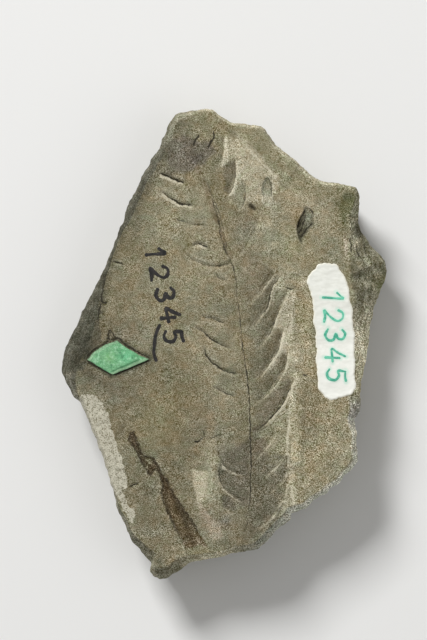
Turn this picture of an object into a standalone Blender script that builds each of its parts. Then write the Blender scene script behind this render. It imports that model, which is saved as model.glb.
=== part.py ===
"""Fossil fern leaf (Dryopteris) on a slab of shale, with a small paper diamond pasted on it.

The slab lies on its flat underside. +Z points up out of the leaf face, +Y runs to the tip of the leaf and
+X to its right. Plan positions below are millimetres from the middle of the slab's outline.
"""
import math

import bmesh
import bpy
import numpy as np

MM = 0.001
NAME = "dryopteris_fern_fossil"

THICKNESS = 12.5          # flat underside to the leaf face, at the middle of the slab
DOME_LENGTHWAYS = 0.00038  # how fast the face falls away towards the ends, per millimetre squared
DOME_SIDEWAYS = 0.0006    # the same towards the sides
GRID_ACROSS = 200         # cells of the leaf face across, before it is thinned out
GRID_ALONG = 300          # cells of the leaf face along its length
EVEN_OUT = 120            # passes that move each place of the face to the middle of its neighbours
BEVEL_ROWS = 14           # rows of the wall from the edge of the face out to the widest line
WALL_ROWS = 16            # rows of the wall from the widest line down to the underside
SLAB_TRIANGLES = 9700     # triangles left in the slab

# Outline seen from above: across, along, and the width of the broken bevel inside it
OUTLINE = (
    (-6.8, 39.8, 0.9), (-4.7, 40, 0.6), (-3, 40.3, 0.5), (-1.8, 40, 0.5), (-0.8, 39.1, 0.5),
    (0.4, 38.4, 0.5), (1.6, 37.7, 0.5), (3.2, 37.8, 0.5), (4.7, 37.4, 0.5), (6.4, 37.3, 0.5),
    (7.1, 36.7, 0.6), (8, 35.2, 0.6), (9.3, 33.7, 0.7), (11.4, 32, 0.8), (12.6, 31, 0.8),
    (13.8, 29.8, 0.7), (15.1, 28.8, 0.6), (16.3, 28, 0.6), (18.6, 27.6, 0.6), (21, 27.2, 0.6),
    (22.7, 26.8, 0.7), (23.1, 25.7, 1), (23.1, 23.5, 1.6), (23, 21.3, 2.2), (23.3, 19.4, 2.6),
    (24.4, 18, 3.2), (25.2, 16.7, 3.8), (26.6, 15.5, 4.6), (27.6, 14.1, 5.2), (27.9, 12.6, 5.3),
    (27.7, 10.9, 5.2), (27.1, 9.7, 4.9), (26.5, 8.3, 4.6), (25.8, 6.2, 4.2), (25.5, 4.7, 4),
    (25.1, 2.8, 3.8), (24.8, 0.8, 3.6), (24.6, -1.5, 3.4), (24.3, -3.3, 3.2), (23.8, -5.4, 2.9),
    (23.4, -7.3, 2.7), (23.4, -9.7, 2.4), (23.2, -11.5, 2), (22.3, -12.9, 1.4), (22.6, -14.6, 1.2),
    (22.7, -16.7, 1.1), (22.8, -18.7, 1.2), (22.9, -20.1, 1.3), (22, -21.5, 1.2),
    (20.6, -22.4, 1.1), (19.8, -23.7, 1.1), (18.2, -24.8, 1.1), (17.2, -25.7, 1.1),
    (15.1, -26.9, 1.1), (14.1, -28, 1.2), (12.9, -28.5, 1.3), (11.5, -28.9, 1.4),
    (11.3, -30.2, 1.5), (10.2, -31.1, 1.5), (8.8, -32.1, 1.5), (8, -33.1, 1.5), (6.9, -34.2, 1.4),
    (5.6, -35.2, 1.3), (3.3, -35.5, 1.2), (1.3, -35.8, 1.1), (-0.8, -36.4, 1.1),
    (-2.8, -36.9, 1.2), (-4.7, -37.1, 1.4), (-6.1, -37.5, 1.7), (-7.1, -38.4, 2),
    (-8.3, -39.2, 2.1), (-9.3, -39.9, 2.1), (-10.7, -40.3, 2), (-12.1, -39.9, 1.9),
    (-12.7, -38.9, 1.8), (-12.4, -37.6, 1.8), (-13.5, -36.4, 1.6), (-14.6, -35, 1.3),
    (-16, -33.4, 1), (-16.6, -31.6, 0.8), (-17.2, -30.3, 0.7), (-18.2, -28.5, 0.6),
    (-18.6, -26.8, 0.5), (-18.8, -25.2, 0.5), (-19.5, -23.7, 0.5), (-20, -21.6, 0.5),
    (-20.9, -19.2, 0.5), (-21.6, -17.2, 0.5), (-22.4, -15.1, 0.5), (-23.3, -13.1, 0.5),
    (-24, -11.2, 0.6), (-24.6, -9.9, 0.7), (-25.7, -9.1, 0.9), (-26.3, -7.8, 1.1),
    (-27, -6.4, 1.5), (-27.7, -5.3, 2.2), (-27.8, -4, 2.9), (-27.5, -2.5, 3.5), (-27.2, -0.9, 3.9),
    (-26.5, 0.8, 4.1), (-25.7, 2.1, 4), (-25.1, 3.5, 3.7), (-24.6, 4.9, 3.3), (-23.8, 6.2, 2.9),
    (-22.8, 8.2, 2.3), (-21.8, 10.3, 1.7), (-20.8, 12.2, 1), (-19.8, 14.3, 0.6),
    (-19.1, 16.1, 0.5), (-18.4, 18, 0.6), (-17.8, 19.9, 0.9), (-17, 21.6, 1.2), (-16.6, 23.5, 1.4),
    (-15.7, 25.2, 1.5), (-14.6, 27.3, 1.5), (-13.6, 29.4, 1.5), (-12.6, 31.3, 1.5),
    (-11.2, 33.3, 1.4), (-10.7, 34.8, 1.4), (-9.9, 36, 1.4), (-9.8, 37, 1.5), (-9.2, 38.2, 1.5),
    (-8.3, 39.3, 1.3))
CORNERS = ((-8.8, 38.7), (23.1, 26.3), (22.9, -20.1), (-12.4, -39.4))

# Margins of the leaf lobes, from the midrib outwards, each with the height of its little cliff
LOBES = (
    (0.45, ((-0.8, 30), (-0.3, 31.4), (0.1, 33.1), (0.1, 35.7))),
    (0.5, ((0.6, 25.1), (1.3, 26.3), (2, 28.3), (2.1, 30), (2.1, 31.7))),
    (0.45, ((2.7, 22.5), (3.3, 23.7), (3.7, 25.4), (3.7, 28))),
    (0.35, ((2.1, 14.6), (3.3, 15.7), (4.5, 17.7), (5.6, 19.8), (6.1, 21.8))),
    (0.35, ((7.3, 24.4), (8, 25.7), (8.1, 27.3), (7.8, 28.7))),
    (0.4, ((4, 6.2), (5.2, 7.8), (6.1, 8.6), (6.8, 9.7), (7.6, 10.7), (9, 12.6))),
    (0.5, ((5.2, 3.2), (6.4, 4.9), (7.3, 6.1), (7.7, 7.4), (8, 9), (8.6, 10.2), (9.8, 11.9))),
    (0.6, ((4.9, -1.5), (6.1, -0.3), (7.1, 0.8), (8.1, 2.3), (8.6, 3.8), (9.3, 5.7), (10.3, 7.4),
           (11, 9.3))),
    (0.65, ((5.2, -6.1), (6.6, -5), (7.6, -3.8), (8.6, -2.5), (9.3, -1.1), (9.8, 0.8), (10.2, 2.7))),
    (0.6, ((5.2, -10.2), (6.6, -9.3), (7.8, -8.1), (8.8, -6.9), (9.7, -5.9), (10.5, -4), (11, -1.8))),
    (0.65, ((5.6, -14.6), (6.8, -13.8), (8, -12.7), (9, -11.5), (10, -10.3), (10.7, -9), (11.4, -7.3),
            (12.1, -5.4))),
    (0.25, ((5.2, -19.8), (6.6, -18.4), (8, -16.7), (9, -15))),
    (0.25, ((6.6, -23.2), (8, -21.8), (9.2, -20.6), (10.3, -19.1))),
    (0.3, ((7.6, -25.6), (9, -24.5), (10.2, -23.2), (11, -21.6))),
    (0.35, ((5.6, -31.7), (6.8, -30.5), (8.1, -29.7), (9, -28.7), (9.8, -27.3))))

# Grooves: depth, half width, and the line. Veins of the left half, midrib, cracks, marks at the tip
GROOVES = (
    (0.4, 0.26, ((-11.2, 29.2), (-9.8, 28.7), (-8.5, 28.1), (-6.6, 27.4))),
    (0.4, 0.26, ((-10.9, 26.3), (-9.5, 25.1), (-8.5, 24.5), (-7.3, 23.9), (-5, 23.6))),
    (0.15, 0.25, ((-8.5, 21.8), (-7.8, 21.1), (-6.8, 20.9), (-5.7, 20.4), (-4.2, 20.4), (-2.7, 20.1))),
    (0.3, 0.35, ((-5.6, 16.7), (-4.2, 17.1), (-2.7, 16.4))),
    (0.25, 0.3, ((-6.2, 16), (-5.9, 14.8), (-4.7, 14.1), (-3.3, 13.5), (-1.5, 13.3), (0.1, 13.5),
                 (1.5, 13.9))),
    (0.18, 0.3, ((-1.6, 12.2), (-0.8, 11.2), (0.9, 10.9))),
    (0.22, 0.3, ((-4, 5.4), (-3.3, 4.5), (-2, 4.4), (-0.9, 3.9), (0.3, 3.3))),
    (0.28, 0.3, ((-5.4, 3.2), (-4, 2.3), (-3.3, 2), (-2.7, 1.1), (-1.6, 0.5), (-0.3, -0.3), (1.5, -0.9))),
    (0.35, 0.34, ((-3.3, -0.1), (-3.2, -1.5), (-2.5, -2.7), (-1.3, -3.8), (-0.1, -4.5), (1.3, -5),
                  (2.8, -5.3))),
    (0.22, 0.3, ((-2.1, -7.1), (-1.1, -7.7), (0.4, -8.5), (2.1, -9))),
    (0.25, 0.3, ((-1.3, -17.5), (-0.9, -18.9), (-0.1, -20.4), (1.3, -21.4), (2.5, -22), (4, -22.2))),
    (0.25, 0.3, ((-0.9, -21), (-0.9, -22.3), (-0.3, -24.2), (0.9, -25.6), (2.3, -26.5), (3.7, -27.1))),
    (0.22, 0.24, ((-4.7, 30), (-3.5, 26.8), (-2, 23.7), (-0.9, 20.8), (-0.1, 18), (1.1, 14.5), (2, 11.7),
                  (2.2, 8.3), (2.7, 4.4), (3, 0.6), (3.5, -3.2), (4, -6.6), (4.4, -10.5), (4.5, -16.5),
                  (4.5, -23.3), (4.3, -27.6), (3.7, -33.3))),
    (0.14, 0.24, ((-4, 29.3), (-2.8, 25.9), (-1.3, 22.7), (-0.4, 19.8), (0.3, 17.2), (1.3, 14.6))),
    (0.25, 0.25, ((-5.4, -16.6), (-4, -16.5), (-3.5, -15.8), (-4, -14.6))),
    (0.2, 0.25, ((-3.5, -15.8), (-2.7, -16.3), (-1.5, -15.9), (-0.8, -16.3), (-1, -15.1))),
    (0.2, 0.25, ((-16.5, -24.2), (-15.7, -23.9), (-14.5, -23.5))),
    (0.15, 0.25, ((-11.4, 3.2), (-12, 0.3), (-11.7, -2.8))),
    (0.15, 0.25, ((3.5, -29.3), (3.9, -30.5), (3.5, -32.9))),
    (0.25, 0.3, ((-4.2, 36.4), (-4.9, 34.8), (-5.2, 33.8))),
    (0.25, 0.3, ((-1.8, 36.2), (-2.1, 34.5), (-2.8, 33.3))))

# Steps: height of the ground on the left of the line, and the line
LEDGE = (0.4, ((-1.5, 39), (0.1, 36.9), (1.5, 36.2), (3, 35), (4.5, 33.8), (6.1, 32.2), (7.3, 30.9),
               (8.6, 29.3), (9.7, 27.3), (11.4, 26.3), (13.4, 25.6), (16.2, 24.7), (20.8, 24), (25, 23)))
FAULTS = (
    (0.25, ((11.2, -4.9), (11.7, -9.3), (11.4, -13.9), (11.1, -17.4), (11.5, -20.3), (11.6, -22.5),
            (12, -25.1), (12.4, -28.1), (12.6, -31))),
    (-0.2, ((11.7, -20.8), (11, -22), (10.5, -23.7), (10.2, -25.9), (9.2, -28.8), (8.8, -31))))

# Hollows: depth, the line along the middle, and the half width at each point of it
PIT = (0.6, ((14.5, 23), (14.1, 21.3), (13.6, 19.8), (13.1, 18)), (0.4, 0.85, 0.85, 0.15))
SMALL_PIT = (0.6, ((4.6, 23.6), (5.2, 22.9)), (0.35, 0.35))
STEM = (0.22, ((-16, -15), (-15.3, -16.5), (-14.3, -18.6), (-12.4, -20.3), (-10.9, -22), (-9.7, -24),
               (-8.8, -26.3), (-7.8, -28.7), (-6.6, -31.2), (-5.4, -33.4), (-4.7, -35.2)),
        (0.4, 0.5, 0.4, 0.45, 0.5, 0.6, 1.1, 1.6, 1.7, 1.8, 1.9))
STEM_BRANCH = (0.15, ((-14.3, -18.6), (-13.8, -20.1), (-12.7, -22)), (0.3, 0.4, 0.5))

# Paper diamond: left, top, right and bottom corners, thickness, and how far it hangs above the stone
DIAMOND = ((-23.4, -2.7), (-18.4, 0.6), (-12.8, -2.6), (-19, -5.3))
PAPER = 0.2
PAPER_GAP = 0.32


def smooth(value):
    """Ease from 0 to 1 as the value goes from 0 to 1."""
    value = np.clip(value, 0.0, 1.0)
    return value * value * (3.0 - 2.0 * value)


def rough(x, y, z, cell, seed):
    """Noise from -1 to 1: random values at the corners of cubes `cell` wide, blended between them."""
    lattice = np.random.RandomState(seed).uniform(-1.0, 1.0, (32, 32, 32))
    places = [np.asarray(axis, dtype=float) / cell for axis in (x, y, z)]
    low = [np.floor(place).astype(int) for place in places]
    part = [smooth(place - corner) for place, corner in zip(places, low)]
    total = 0.0
    for dx in (0, 1):
        for dy in (0, 1):
            for dz in (0, 1):
                weight = part[0] if dx else 1.0 - part[0]
                weight = weight * (part[1] if dy else 1.0 - part[1])
                weight = weight * (part[2] if dz else 1.0 - part[2])
                total = total + weight * lattice[(low[0] + dx) % 32, (low[1] + dy) % 32, (low[2] + dz) % 32]
    return total


def curved(points, steps=5):
    """A smooth line through the points, with `steps` pieces between each two of them."""
    knots = np.array(points, dtype=float)
    padded = np.vstack((2.0 * knots[0] - knots[1], knots, 2.0 * knots[-1] - knots[-2]))
    line = []
    for index in range(len(knots) - 1):
        before, start, end, after = padded[index:index + 4]
        for step in range(steps):
            t = step / steps
            line.append(0.5 * (2.0 * start + (end - before) * t
                               + (2.0 * before - 5.0 * start + 4.0 * end - after) * t ** 2
                               + (3.0 * start - before - 3.0 * end + after) * t ** 3))
    line.append(knots[-1])
    return np.array(line)


def measure(x, y, points):
    """How far each place lies from a line, positive on its left, and how far along the line that is."""
    line = curved(points)
    lengths = np.hypot(*(line[1:] - line[:-1]).T)
    starts = np.concatenate(([0.0], np.cumsum(lengths)))
    nearest = np.full(np.shape(x), 1e9)
    side = np.ones(np.shape(x))
    along = np.zeros(np.shape(x))
    for start, end, length, run in zip(line[:-1], line[1:], lengths, starts):
        direction = (end - start) / length
        reach = np.clip((x - start[0]) * direction[0] + (y - start[1]) * direction[1], 0.0, length)
        across_x = x - start[0] - reach * direction[0]
        across_y = y - start[1] - reach * direction[1]
        distance = np.hypot(across_x, across_y)
        closer = distance < nearest
        nearest = np.where(closer, distance, nearest)
        side = np.where(closer, np.sign(direction[0] * across_y - direction[1] * across_x), side)
        along = np.where(closer, (run + reach) / starts[-1], along)
    return nearest * side, along


def lobe(x, y, height, points):
    """A leaf lobe that dips to its margin, and the little cliff up to the stone beyond the margin."""
    distance, along = measure(x, y, points)
    distance = -distance
    fade = smooth(along / 0.18) * smooth((1.0 - along) / 0.18)
    beyond = smooth(distance / 0.35 + 0.5)
    rise = 0.5 * beyond * np.exp(-np.maximum(distance, 0.0) / 1.3)
    dip = 0.65 * (1.0 - beyond) * np.exp(np.minimum(distance, 0.0) / 1.5)
    return fade * height * (rise - dip)


def groove(x, y, depth, half_width, points):
    """A rounded furrow that fades out at both ends, with a swollen lobe on the left of its line."""
    distance, along = measure(x, y, points)
    fade = smooth(along / 0.15) * smooth((1.0 - along) / 0.15)
    furrow = np.exp(-(distance / half_width) ** 2)
    swell = 0.5 * smooth(distance / half_width) * np.exp(-np.maximum(distance, 0.0) / 1.3)
    return fade * depth * (swell - furrow)


def step_up(x, y, height, points, reach=9.0):
    """Ground raised on the left of a line, which sinks back to nothing `reach` away from it."""
    distance, along = measure(x, y, points)
    fade = smooth(along / 0.05)
    return fade * height * smooth(distance / 0.5 + 0.5) * (1.0 - smooth(distance / reach))


def hollow(x, y, depth, points, half_widths):
    """A flat-bottomed hollow along a line, as wide at each point as its half width says."""
    distance, along = measure(x, y, points)
    knots = np.array(points, dtype=float)
    stations = np.concatenate(([0.0], np.cumsum(np.hypot(*(knots[1:] - knots[:-1]).T))))
    half_width = np.interp(along, stations / stations[-1], half_widths)
    return -depth * smooth((half_width - np.abs(distance)) / 0.25 + 0.5)


def face_height(x, y):
    """Height of the leaf face above the underside at each place."""
    height = THICKNESS - DOME_LENGTHWAYS * y ** 2 - DOME_SIDEWAYS * x ** 2
    height = height + 0.24 * rough(x, y, 0.0, 11.0, 3) + 0.1 * rough(x, y, 0.0, 4.3, 4)
    height = height + 0.035 * rough(x, y, 0.0, 1.9, 5)
    for rise, points in LOBES:
        height = height + lobe(x, y, rise, points)
    for depth, half_width, points in GROOVES:
        height = height + groove(x, y, depth, half_width, points)
    height = height + step_up(x, y, *LEDGE)
    for rise, points in FAULTS:
        height = height + step_up(x, y, rise, points, 5.0)
    for depth, points, half_widths in (PIT, SMALL_PIT, STEM, STEM_BRANCH):
        height = height + hollow(x, y, depth, points, half_widths)
    return height


def blur(values, spread):
    """Blur rows of numbers that run round a closed loop; `spread` is in rows."""
    turns = np.fft.fftfreq(len(values))
    keep = np.exp(-2.0 * (math.pi * turns * spread) ** 2)
    return np.real(np.fft.ifft(np.fft.fft(values, axis=0) * keep[:, None], axis=0))


def rims(across, along):
    """The widest line, the edge of the leaf face and the edge of the underside, side by side.

    Each is a loop of points from the first corner on, with `across` or `along` cells on each side in turn.
    """
    table = np.array(OUTLINE + OUTLINE[:1], dtype=float)
    lengths = np.concatenate(([0.0], np.cumsum(np.hypot(*(table[1:, :2] - table[:-1, :2]).T))))
    spacing = 0.05
    places = np.arange(0.0, lengths[-1], spacing)
    dense = np.column_stack([np.interp(places, lengths, table[:, column]) for column in range(3)])
    outer = blur(dense[:, :2], 0.25 / spacing)
    wide = blur(dense[:, :2], 8.0 / spacing)
    heading = np.roll(wide, -1, axis=0) - np.roll(wide, 1, axis=0)
    inward = np.column_stack((heading[:, 1], -heading[:, 0]))
    inward /= np.hypot(*inward.T)[:, None]
    width = blur(dense[:, 2:], 0.8 / spacing)[:, 0]
    width = width * (1.0 + 0.22 * rough(outer[:, 0], outer[:, 1], 0.0, 2.3, 8))
    inner = blur(blur(dense[:, :2], 0.5 / spacing) + inward * width[:, None], 0.4 / spacing)
    undercut = 1.3 + 0.7 * rough(outer[:, 0], outer[:, 1], 0.0, 7.0, 13)
    undercut = undercut + 0.35 * rough(outer[:, 0], outer[:, 1], 0.0, 2.6, 16)
    base = blur(blur(dense[:, :2], 1.6 / spacing) + inward * undercut[:, None], 0.3 / spacing)
    starts = [int(np.argmin(np.hypot(*(outer - corner).T))) for corner in np.array(CORNERS)]
    picked = []
    for number, cells in enumerate((across, along, across, along)):
        start = starts[number]
        end = starts[(number + 1) % 4]
        span = (end - start) % len(outer)
        picked.append(start + span * np.arange(cells) / cells)
    picked = np.concatenate(picked) % len(outer)
    low = picked.astype(int)
    part = (picked - low)[:, None]
    high = (low + 1) % len(outer)
    return [line[low] * (1.0 - part) + line[high] * part for line in (outer, inner, base)]


def patch(rim, across, along):
    """A grid of places that fills a four-sided rim: blended from the opposite sides, then evened out."""
    closed = np.vstack((rim, rim[:1]))
    top = closed[:across + 1]
    right = closed[across:across + along + 1]
    bottom = closed[across + along:2 * across + along + 1][::-1]
    left = closed[2 * across + along:][::-1]
    u = np.linspace(0.0, 1.0, across + 1)[None, :, None]
    v = np.linspace(0.0, 1.0, along + 1)[:, None, None]
    between = (1.0 - v) * top[None] + v * bottom[None] + (1.0 - u) * left[:, None] + u * right[:, None]
    corners = ((1.0 - u) * (1.0 - v) * top[0] + u * (1.0 - v) * top[-1]
               + (1.0 - u) * v * bottom[0] + u * v * bottom[-1])
    places = between - corners
    for _ in range(EVEN_OUT):
        around = places[:-2, 1:-1] + places[2:, 1:-1] + places[1:-1, :-2] + places[1:-1, 2:]
        places[1:-1, 1:-1] = 0.25 * around
    return places


def wall(outer, inner, base, bevel_rows, wall_rows):
    """Rows of points down the broken side: out over the bevel, then down and in to the underside."""
    width = np.hypot(*(outer - inner).T)
    edge_z = face_height(inner[:, 0], inner[:, 1])
    drop = 1.3 + 1.0 * width
    layered = np.where(outer[:, 0] > 0.0, 1.0, 0.35) * smooth((width - 1.0) / 1.5)
    waves = np.maximum(1.5, width / 0.95)
    wander = 1.4 * rough(outer[:, 0], outer[:, 1], 0.0, 5.0, 11)
    rows = []
    for row in range(bevel_rows + 1):
        s = row / bevel_rows
        window = math.sin(math.pi * s)
        terrace = layered * window ** 0.5 * 0.85 * np.sin(2.0 * math.pi * waves * s + wander)
        out = np.clip(s ** 0.85 + terrace / (2.0 * math.pi * waves), 0.0, 1.0)
        place = inner + (outer - inner) * out[:, None]
        z = edge_z - drop * s ** 1.25
        chips = 0.4 * window * rough(place[:, 0], place[:, 1], z, 1.7, 12)
        rows.append(np.column_stack((place, z + chips * smooth(width / 2.0))))
    middle = outer.mean(axis=0)
    inward = (middle - outer) / np.hypot(*(middle - outer).T)[:, None]
    for row in range(1, wall_rows + 1):
        q = row / wall_rows
        z = (edge_z - drop) * (1.0 - q)
        place = outer + (base - outer) * (0.55 * q + 0.45 * q ** 2.5)
        beds = 1.0 + rough(0.2 * place[:, 0], 0.2 * place[:, 1], z, 1.3, 14)
        lumps = 1.0 + rough(place[:, 0], place[:, 1], 1.5 * z, 3.4, 15)
        chips = 1.0 + rough(place[:, 0], place[:, 1], 1.5 * z, 1.4, 17)
        cut = (0.3 * beds + 0.4 * lumps + 0.14 * chips) * smooth(q / 0.5)
        cut = cut + 0.4 * smooth((q - 0.85) / 0.15)
        rows.append(np.column_stack((place + inward * cut[:, None], z)))
    return np.array(rows)


def move_vertices(mesh, places):
    """Put a mesh's vertices at rows of millimetre places."""
    mesh.vertices.foreach_set("co", (np.asarray(places, dtype=float) * MM).ravel())
    mesh.update()


def stone_material():
    """Dull grey-brown shale."""
    material = bpy.data.materials.new("shale")
    material.use_nodes = True
    shader = material.node_tree.nodes["Principled BSDF"]
    shader.inputs["Base Color"].default_value = (0.215, 0.195, 0.13, 1.0)
    shader.inputs["Roughness"].default_value = 0.85
    shader.inputs["Metallic"].default_value = 0.0
    return material


def paper_material():
    """Soft green paper."""
    material = bpy.data.materials.new("green_paper")
    material.use_nodes = True
    shader = material.node_tree.nodes["Principled BSDF"]
    shader.inputs["Base Color"].default_value = (0.2, 0.42, 0.22, 1.0)
    shader.inputs["Roughness"].default_value = 0.75
    shader.inputs["Metallic"].default_value = 0.0
    return material


def grid_object(name, across, along):
    """A flat grid of cells from the grid primitive, its vertices in rows from low to high."""
    bpy.ops.mesh.primitive_grid_add(x_subdivisions=across, y_subdivisions=along, size=1.0)
    grid = bpy.context.object
    grid.name = name
    grid.data.name = name
    return grid


def make_slab():
    """The slab: leaf face, broken wall and underside, welded into one body and thinned out."""
    outer, inner, base = rims(GRID_ACROSS, GRID_ALONG)
    places = patch(inner, GRID_ACROSS, GRID_ALONG)[::-1]
    heights = face_height(places[..., 0], places[..., 1])
    slab = grid_object("slab", GRID_ACROSS, GRID_ALONG)
    move_vertices(slab.data, np.concatenate((places, heights[..., None]), axis=2).reshape(-1, 3))

    rows = wall(outer, inner, base, BEVEL_ROWS, WALL_ROWS)
    around = np.concatenate((rows, rows[:, :1]), axis=1)[::-1]
    side = grid_object("slab_wall", len(outer), len(rows) - 1)
    move_vertices(side.data, around.reshape(-1, 3))

    body = bmesh.new()
    body.from_mesh(slab.data)
    body.from_mesh(side.data)
    bmesh.ops.remove_doubles(body, verts=body.verts, dist=0.000002)
    open_edges = [edge for edge in body.edges if edge.is_boundary]
    bmesh.ops.triangle_fill(body, use_beauty=True, edges=open_edges)
    bmesh.ops.recalc_face_normals(body, faces=body.faces)
    bmesh.ops.triangulate(body, faces=body.faces)
    count = len(body.faces)
    body.to_mesh(slab.data)
    body.free()
    bpy.data.objects.remove(side)

    thin = slab.modifiers.new("thin_out", "DECIMATE")
    thin.ratio = SLAB_TRIANGLES / count
    thin.use_collapse_triangulate = True
    slab.data.materials.append(stone_material())
    return slab


def make_diamond():
    """The paper diamond: a thin sheet that follows the stone just below it."""
    across, along = 8, 6
    left, top, right, bottom = (np.array(corner) for corner in DIAMOND)
    u = np.linspace(0.0, 1.0, across + 1)[None, :, None]
    v = np.linspace(0.0, 1.0, along + 1)[:, None, None]
    places = ((1.0 - u) * (1.0 - v) * left + u * (1.0 - v) * bottom + (1.0 - u) * v * top + u * v * right)
    heights = face_height(places[..., 0], places[..., 1]) + PAPER_GAP
    diamond = grid_object("diamond_sticker", across, along)
    move_vertices(diamond.data, np.concatenate((places, heights[..., None]), axis=2).reshape(-1, 3))
    sheet = diamond.modifiers.new("sheet", "SOLIDIFY")
    sheet.thickness = PAPER * MM
    sheet.offset = 1.0
    diamond.data.materials.append(paper_material())
    return diamond


def baked(thing):
    """Replace an object's mesh with the one its modifiers make."""
    bpy.context.view_layer.update()
    graph = bpy.context.evaluated_depsgraph_get()
    mesh = bpy.data.meshes.new_from_object(thing.evaluated_get(graph))
    thing.modifiers.clear()
    thing.data = mesh


def settle(things):
    """Bring the middle of the slab's box over the origin and its underside to height zero."""
    slab = things[0].data
    places = np.empty(len(slab.vertices) * 3)
    slab.vertices.foreach_get("co", places)
    places = places.reshape(-1, 3)
    places[places[:, 2] < 0.05 * MM, 2] = 0.0
    slab.vertices.foreach_set("co", places.ravel())
    slab.update()
    shift = -0.5 * (places.min(axis=0) + places.max(axis=0))
    for thing in things:
        for vertex in thing.data.vertices:
            vertex.co.x += shift[0]
            vertex.co.y += shift[1]


def main():
    """Make both pieces and gather them in one collection."""
    for old in list(bpy.data.objects):
        bpy.data.objects.remove(old, do_unlink=True)
    things = [make_slab(), make_diamond()]
    for thing in things:
        baked(thing)
    settle(things)
    collection = bpy.data.collections.new(NAME)
    bpy.context.scene.collection.children.link(collection)
    for thing in things:
        for holder in list(thing.users_collection):
            holder.objects.unlink(thing)
        collection.objects.link(thing)
        print(thing.name, len(thing.data.polygons), "faces", [round(v / MM, 2) for v in thing.dimensions])


main()
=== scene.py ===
# %% [markdown]
# # A fossil fern leaf on a slab of shale
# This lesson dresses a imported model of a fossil: a flat piece of shale, split along its bedding, with a
# frond of fern pressed into it. A stranger to Blender can read it from top to bottom. Each cell makes one
# thing, and prints what it made. Lengths are worked out in millimetres and turned into metres once, when a
# mesh is filled.

# %% Load the frame
import math

import bpy
import mathutils
import numpy as np
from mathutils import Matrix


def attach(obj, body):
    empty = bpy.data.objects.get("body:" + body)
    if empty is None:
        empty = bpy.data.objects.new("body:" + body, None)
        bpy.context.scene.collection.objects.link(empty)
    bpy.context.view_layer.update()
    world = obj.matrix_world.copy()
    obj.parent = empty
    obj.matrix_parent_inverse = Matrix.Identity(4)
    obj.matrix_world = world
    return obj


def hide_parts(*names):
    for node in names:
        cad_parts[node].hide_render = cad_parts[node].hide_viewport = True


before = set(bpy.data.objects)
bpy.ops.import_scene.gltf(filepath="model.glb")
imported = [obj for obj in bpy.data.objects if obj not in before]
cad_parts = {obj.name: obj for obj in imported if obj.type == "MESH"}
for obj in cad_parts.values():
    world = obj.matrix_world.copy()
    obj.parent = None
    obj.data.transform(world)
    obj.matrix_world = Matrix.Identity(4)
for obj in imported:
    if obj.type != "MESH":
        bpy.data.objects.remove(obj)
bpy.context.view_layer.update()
MM = 0.001
print("solids in the frame:", sorted(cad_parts))

# %% [markdown]
# ## Noise that is the same every run
# Broken stone has no two places alike, so nearly every surface here needs some controlled disorder. Random
# numbers drawn per vertex would look like sandpaper. Value noise is better: random values sit at the corners
# of cubes, and every place between them is a smooth blend. The seed fixes the values, so each run agrees.

# %% Noise and easing
def smooth(value):
    """Ease from 0 to 1: three times the square minus twice the cube, held at 0 and 1 outside."""
    value = np.clip(value, 0.0, 1.0)
    return value * value * (3.0 - 2.0 * value)


def rough(x, y, z, cell, seed):
    """Noise from -1 to 1: random values at the corners of cubes `cell` wide, blended between them."""
    lattice = np.random.RandomState(seed).uniform(-1.0, 1.0, (32, 32, 32))
    places = [np.asarray(axis, dtype=float) / cell for axis in (x, y, z)]
    low = [np.floor(place).astype(int) for place in places]
    part = [smooth(place - corner) for place, corner in zip(places, low)]
    total = 0.0
    for dx in (0, 1):
        for dy in (0, 1):
            for dz in (0, 1):
                weight = part[0] if dx else 1.0 - part[0]
                weight = weight * (part[1] if dy else 1.0 - part[1])
                weight = weight * (part[2] if dz else 1.0 - part[2])
                total = total + weight * lattice[(low[0] + dx) % 32, (low[1] + dy) % 32, (low[2] + dz) % 32]
    return total


print("noise at one place:", round(float(rough(1.0, 2.0, 3.0, 0.7, 1)), 4))

# %% [markdown]
# ## Lines to measure from
# A fern leaf is all lines: a midrib, lobes with margins, veins, cracks. If every place on the slab knows how
# far it lies from a line, and on which side, the line can become a groove, a cliff, a stain or a thin dark
# stroke, all from one measurement. So the two helpers here turn a few points into a smooth line, and measure
# the signed distance to it.

# %% Smooth lines and signed distances
def curved(points, steps=5):
    """A Catmull-Rom line through the points: each piece is a cubic that leaves and arrives along the chord
    between its neighbours, cut into `steps`."""
    knots = np.array(points, dtype=float)
    padded = np.vstack((2.0 * knots[0] - knots[1], knots, 2.0 * knots[-1] - knots[-2]))
    line = []
    for index in range(len(knots) - 1):
        before, start, end, after = padded[index:index + 4]
        t = np.arange(steps)[:, None] / steps
        line.append(0.5 * (2.0 * start + (end - before) * t
                           + (2.0 * before - 5.0 * start + 4.0 * end - after) * t ** 2
                           + (3.0 * start - before - 3.0 * end + after) * t ** 3))
    return np.vstack(line + [knots[-1:]])


def measure(x, y, points, steps=5):
    """Distance to the nearest piece of a line, positive on its left, and how far along the line that is."""
    line = curved(points, steps)
    lengths = np.hypot(*(line[1:] - line[:-1]).T)
    starts = np.concatenate(([0.0], np.cumsum(lengths)))
    nearest = np.full(np.shape(x), 1e9)
    side = np.ones(np.shape(x))
    along = np.zeros(np.shape(x))
    for start, end, length, run in zip(line[:-1], line[1:], lengths, starts):
        direction = (end - start) / length
        reach = np.clip((x - start[0]) * direction[0] + (y - start[1]) * direction[1], 0.0, length)
        across_x = x - start[0] - reach * direction[0]
        across_y = y - start[1] - reach * direction[1]
        distance = np.hypot(across_x, across_y)
        closer = distance < nearest
        nearest = np.where(closer, distance, nearest)
        side = np.where(closer, np.sign(direction[0] * across_y - direction[1] * across_x), side)
        along = np.where(closer, (run + reach) / starts[-1], along)
    return nearest * side, along


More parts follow.
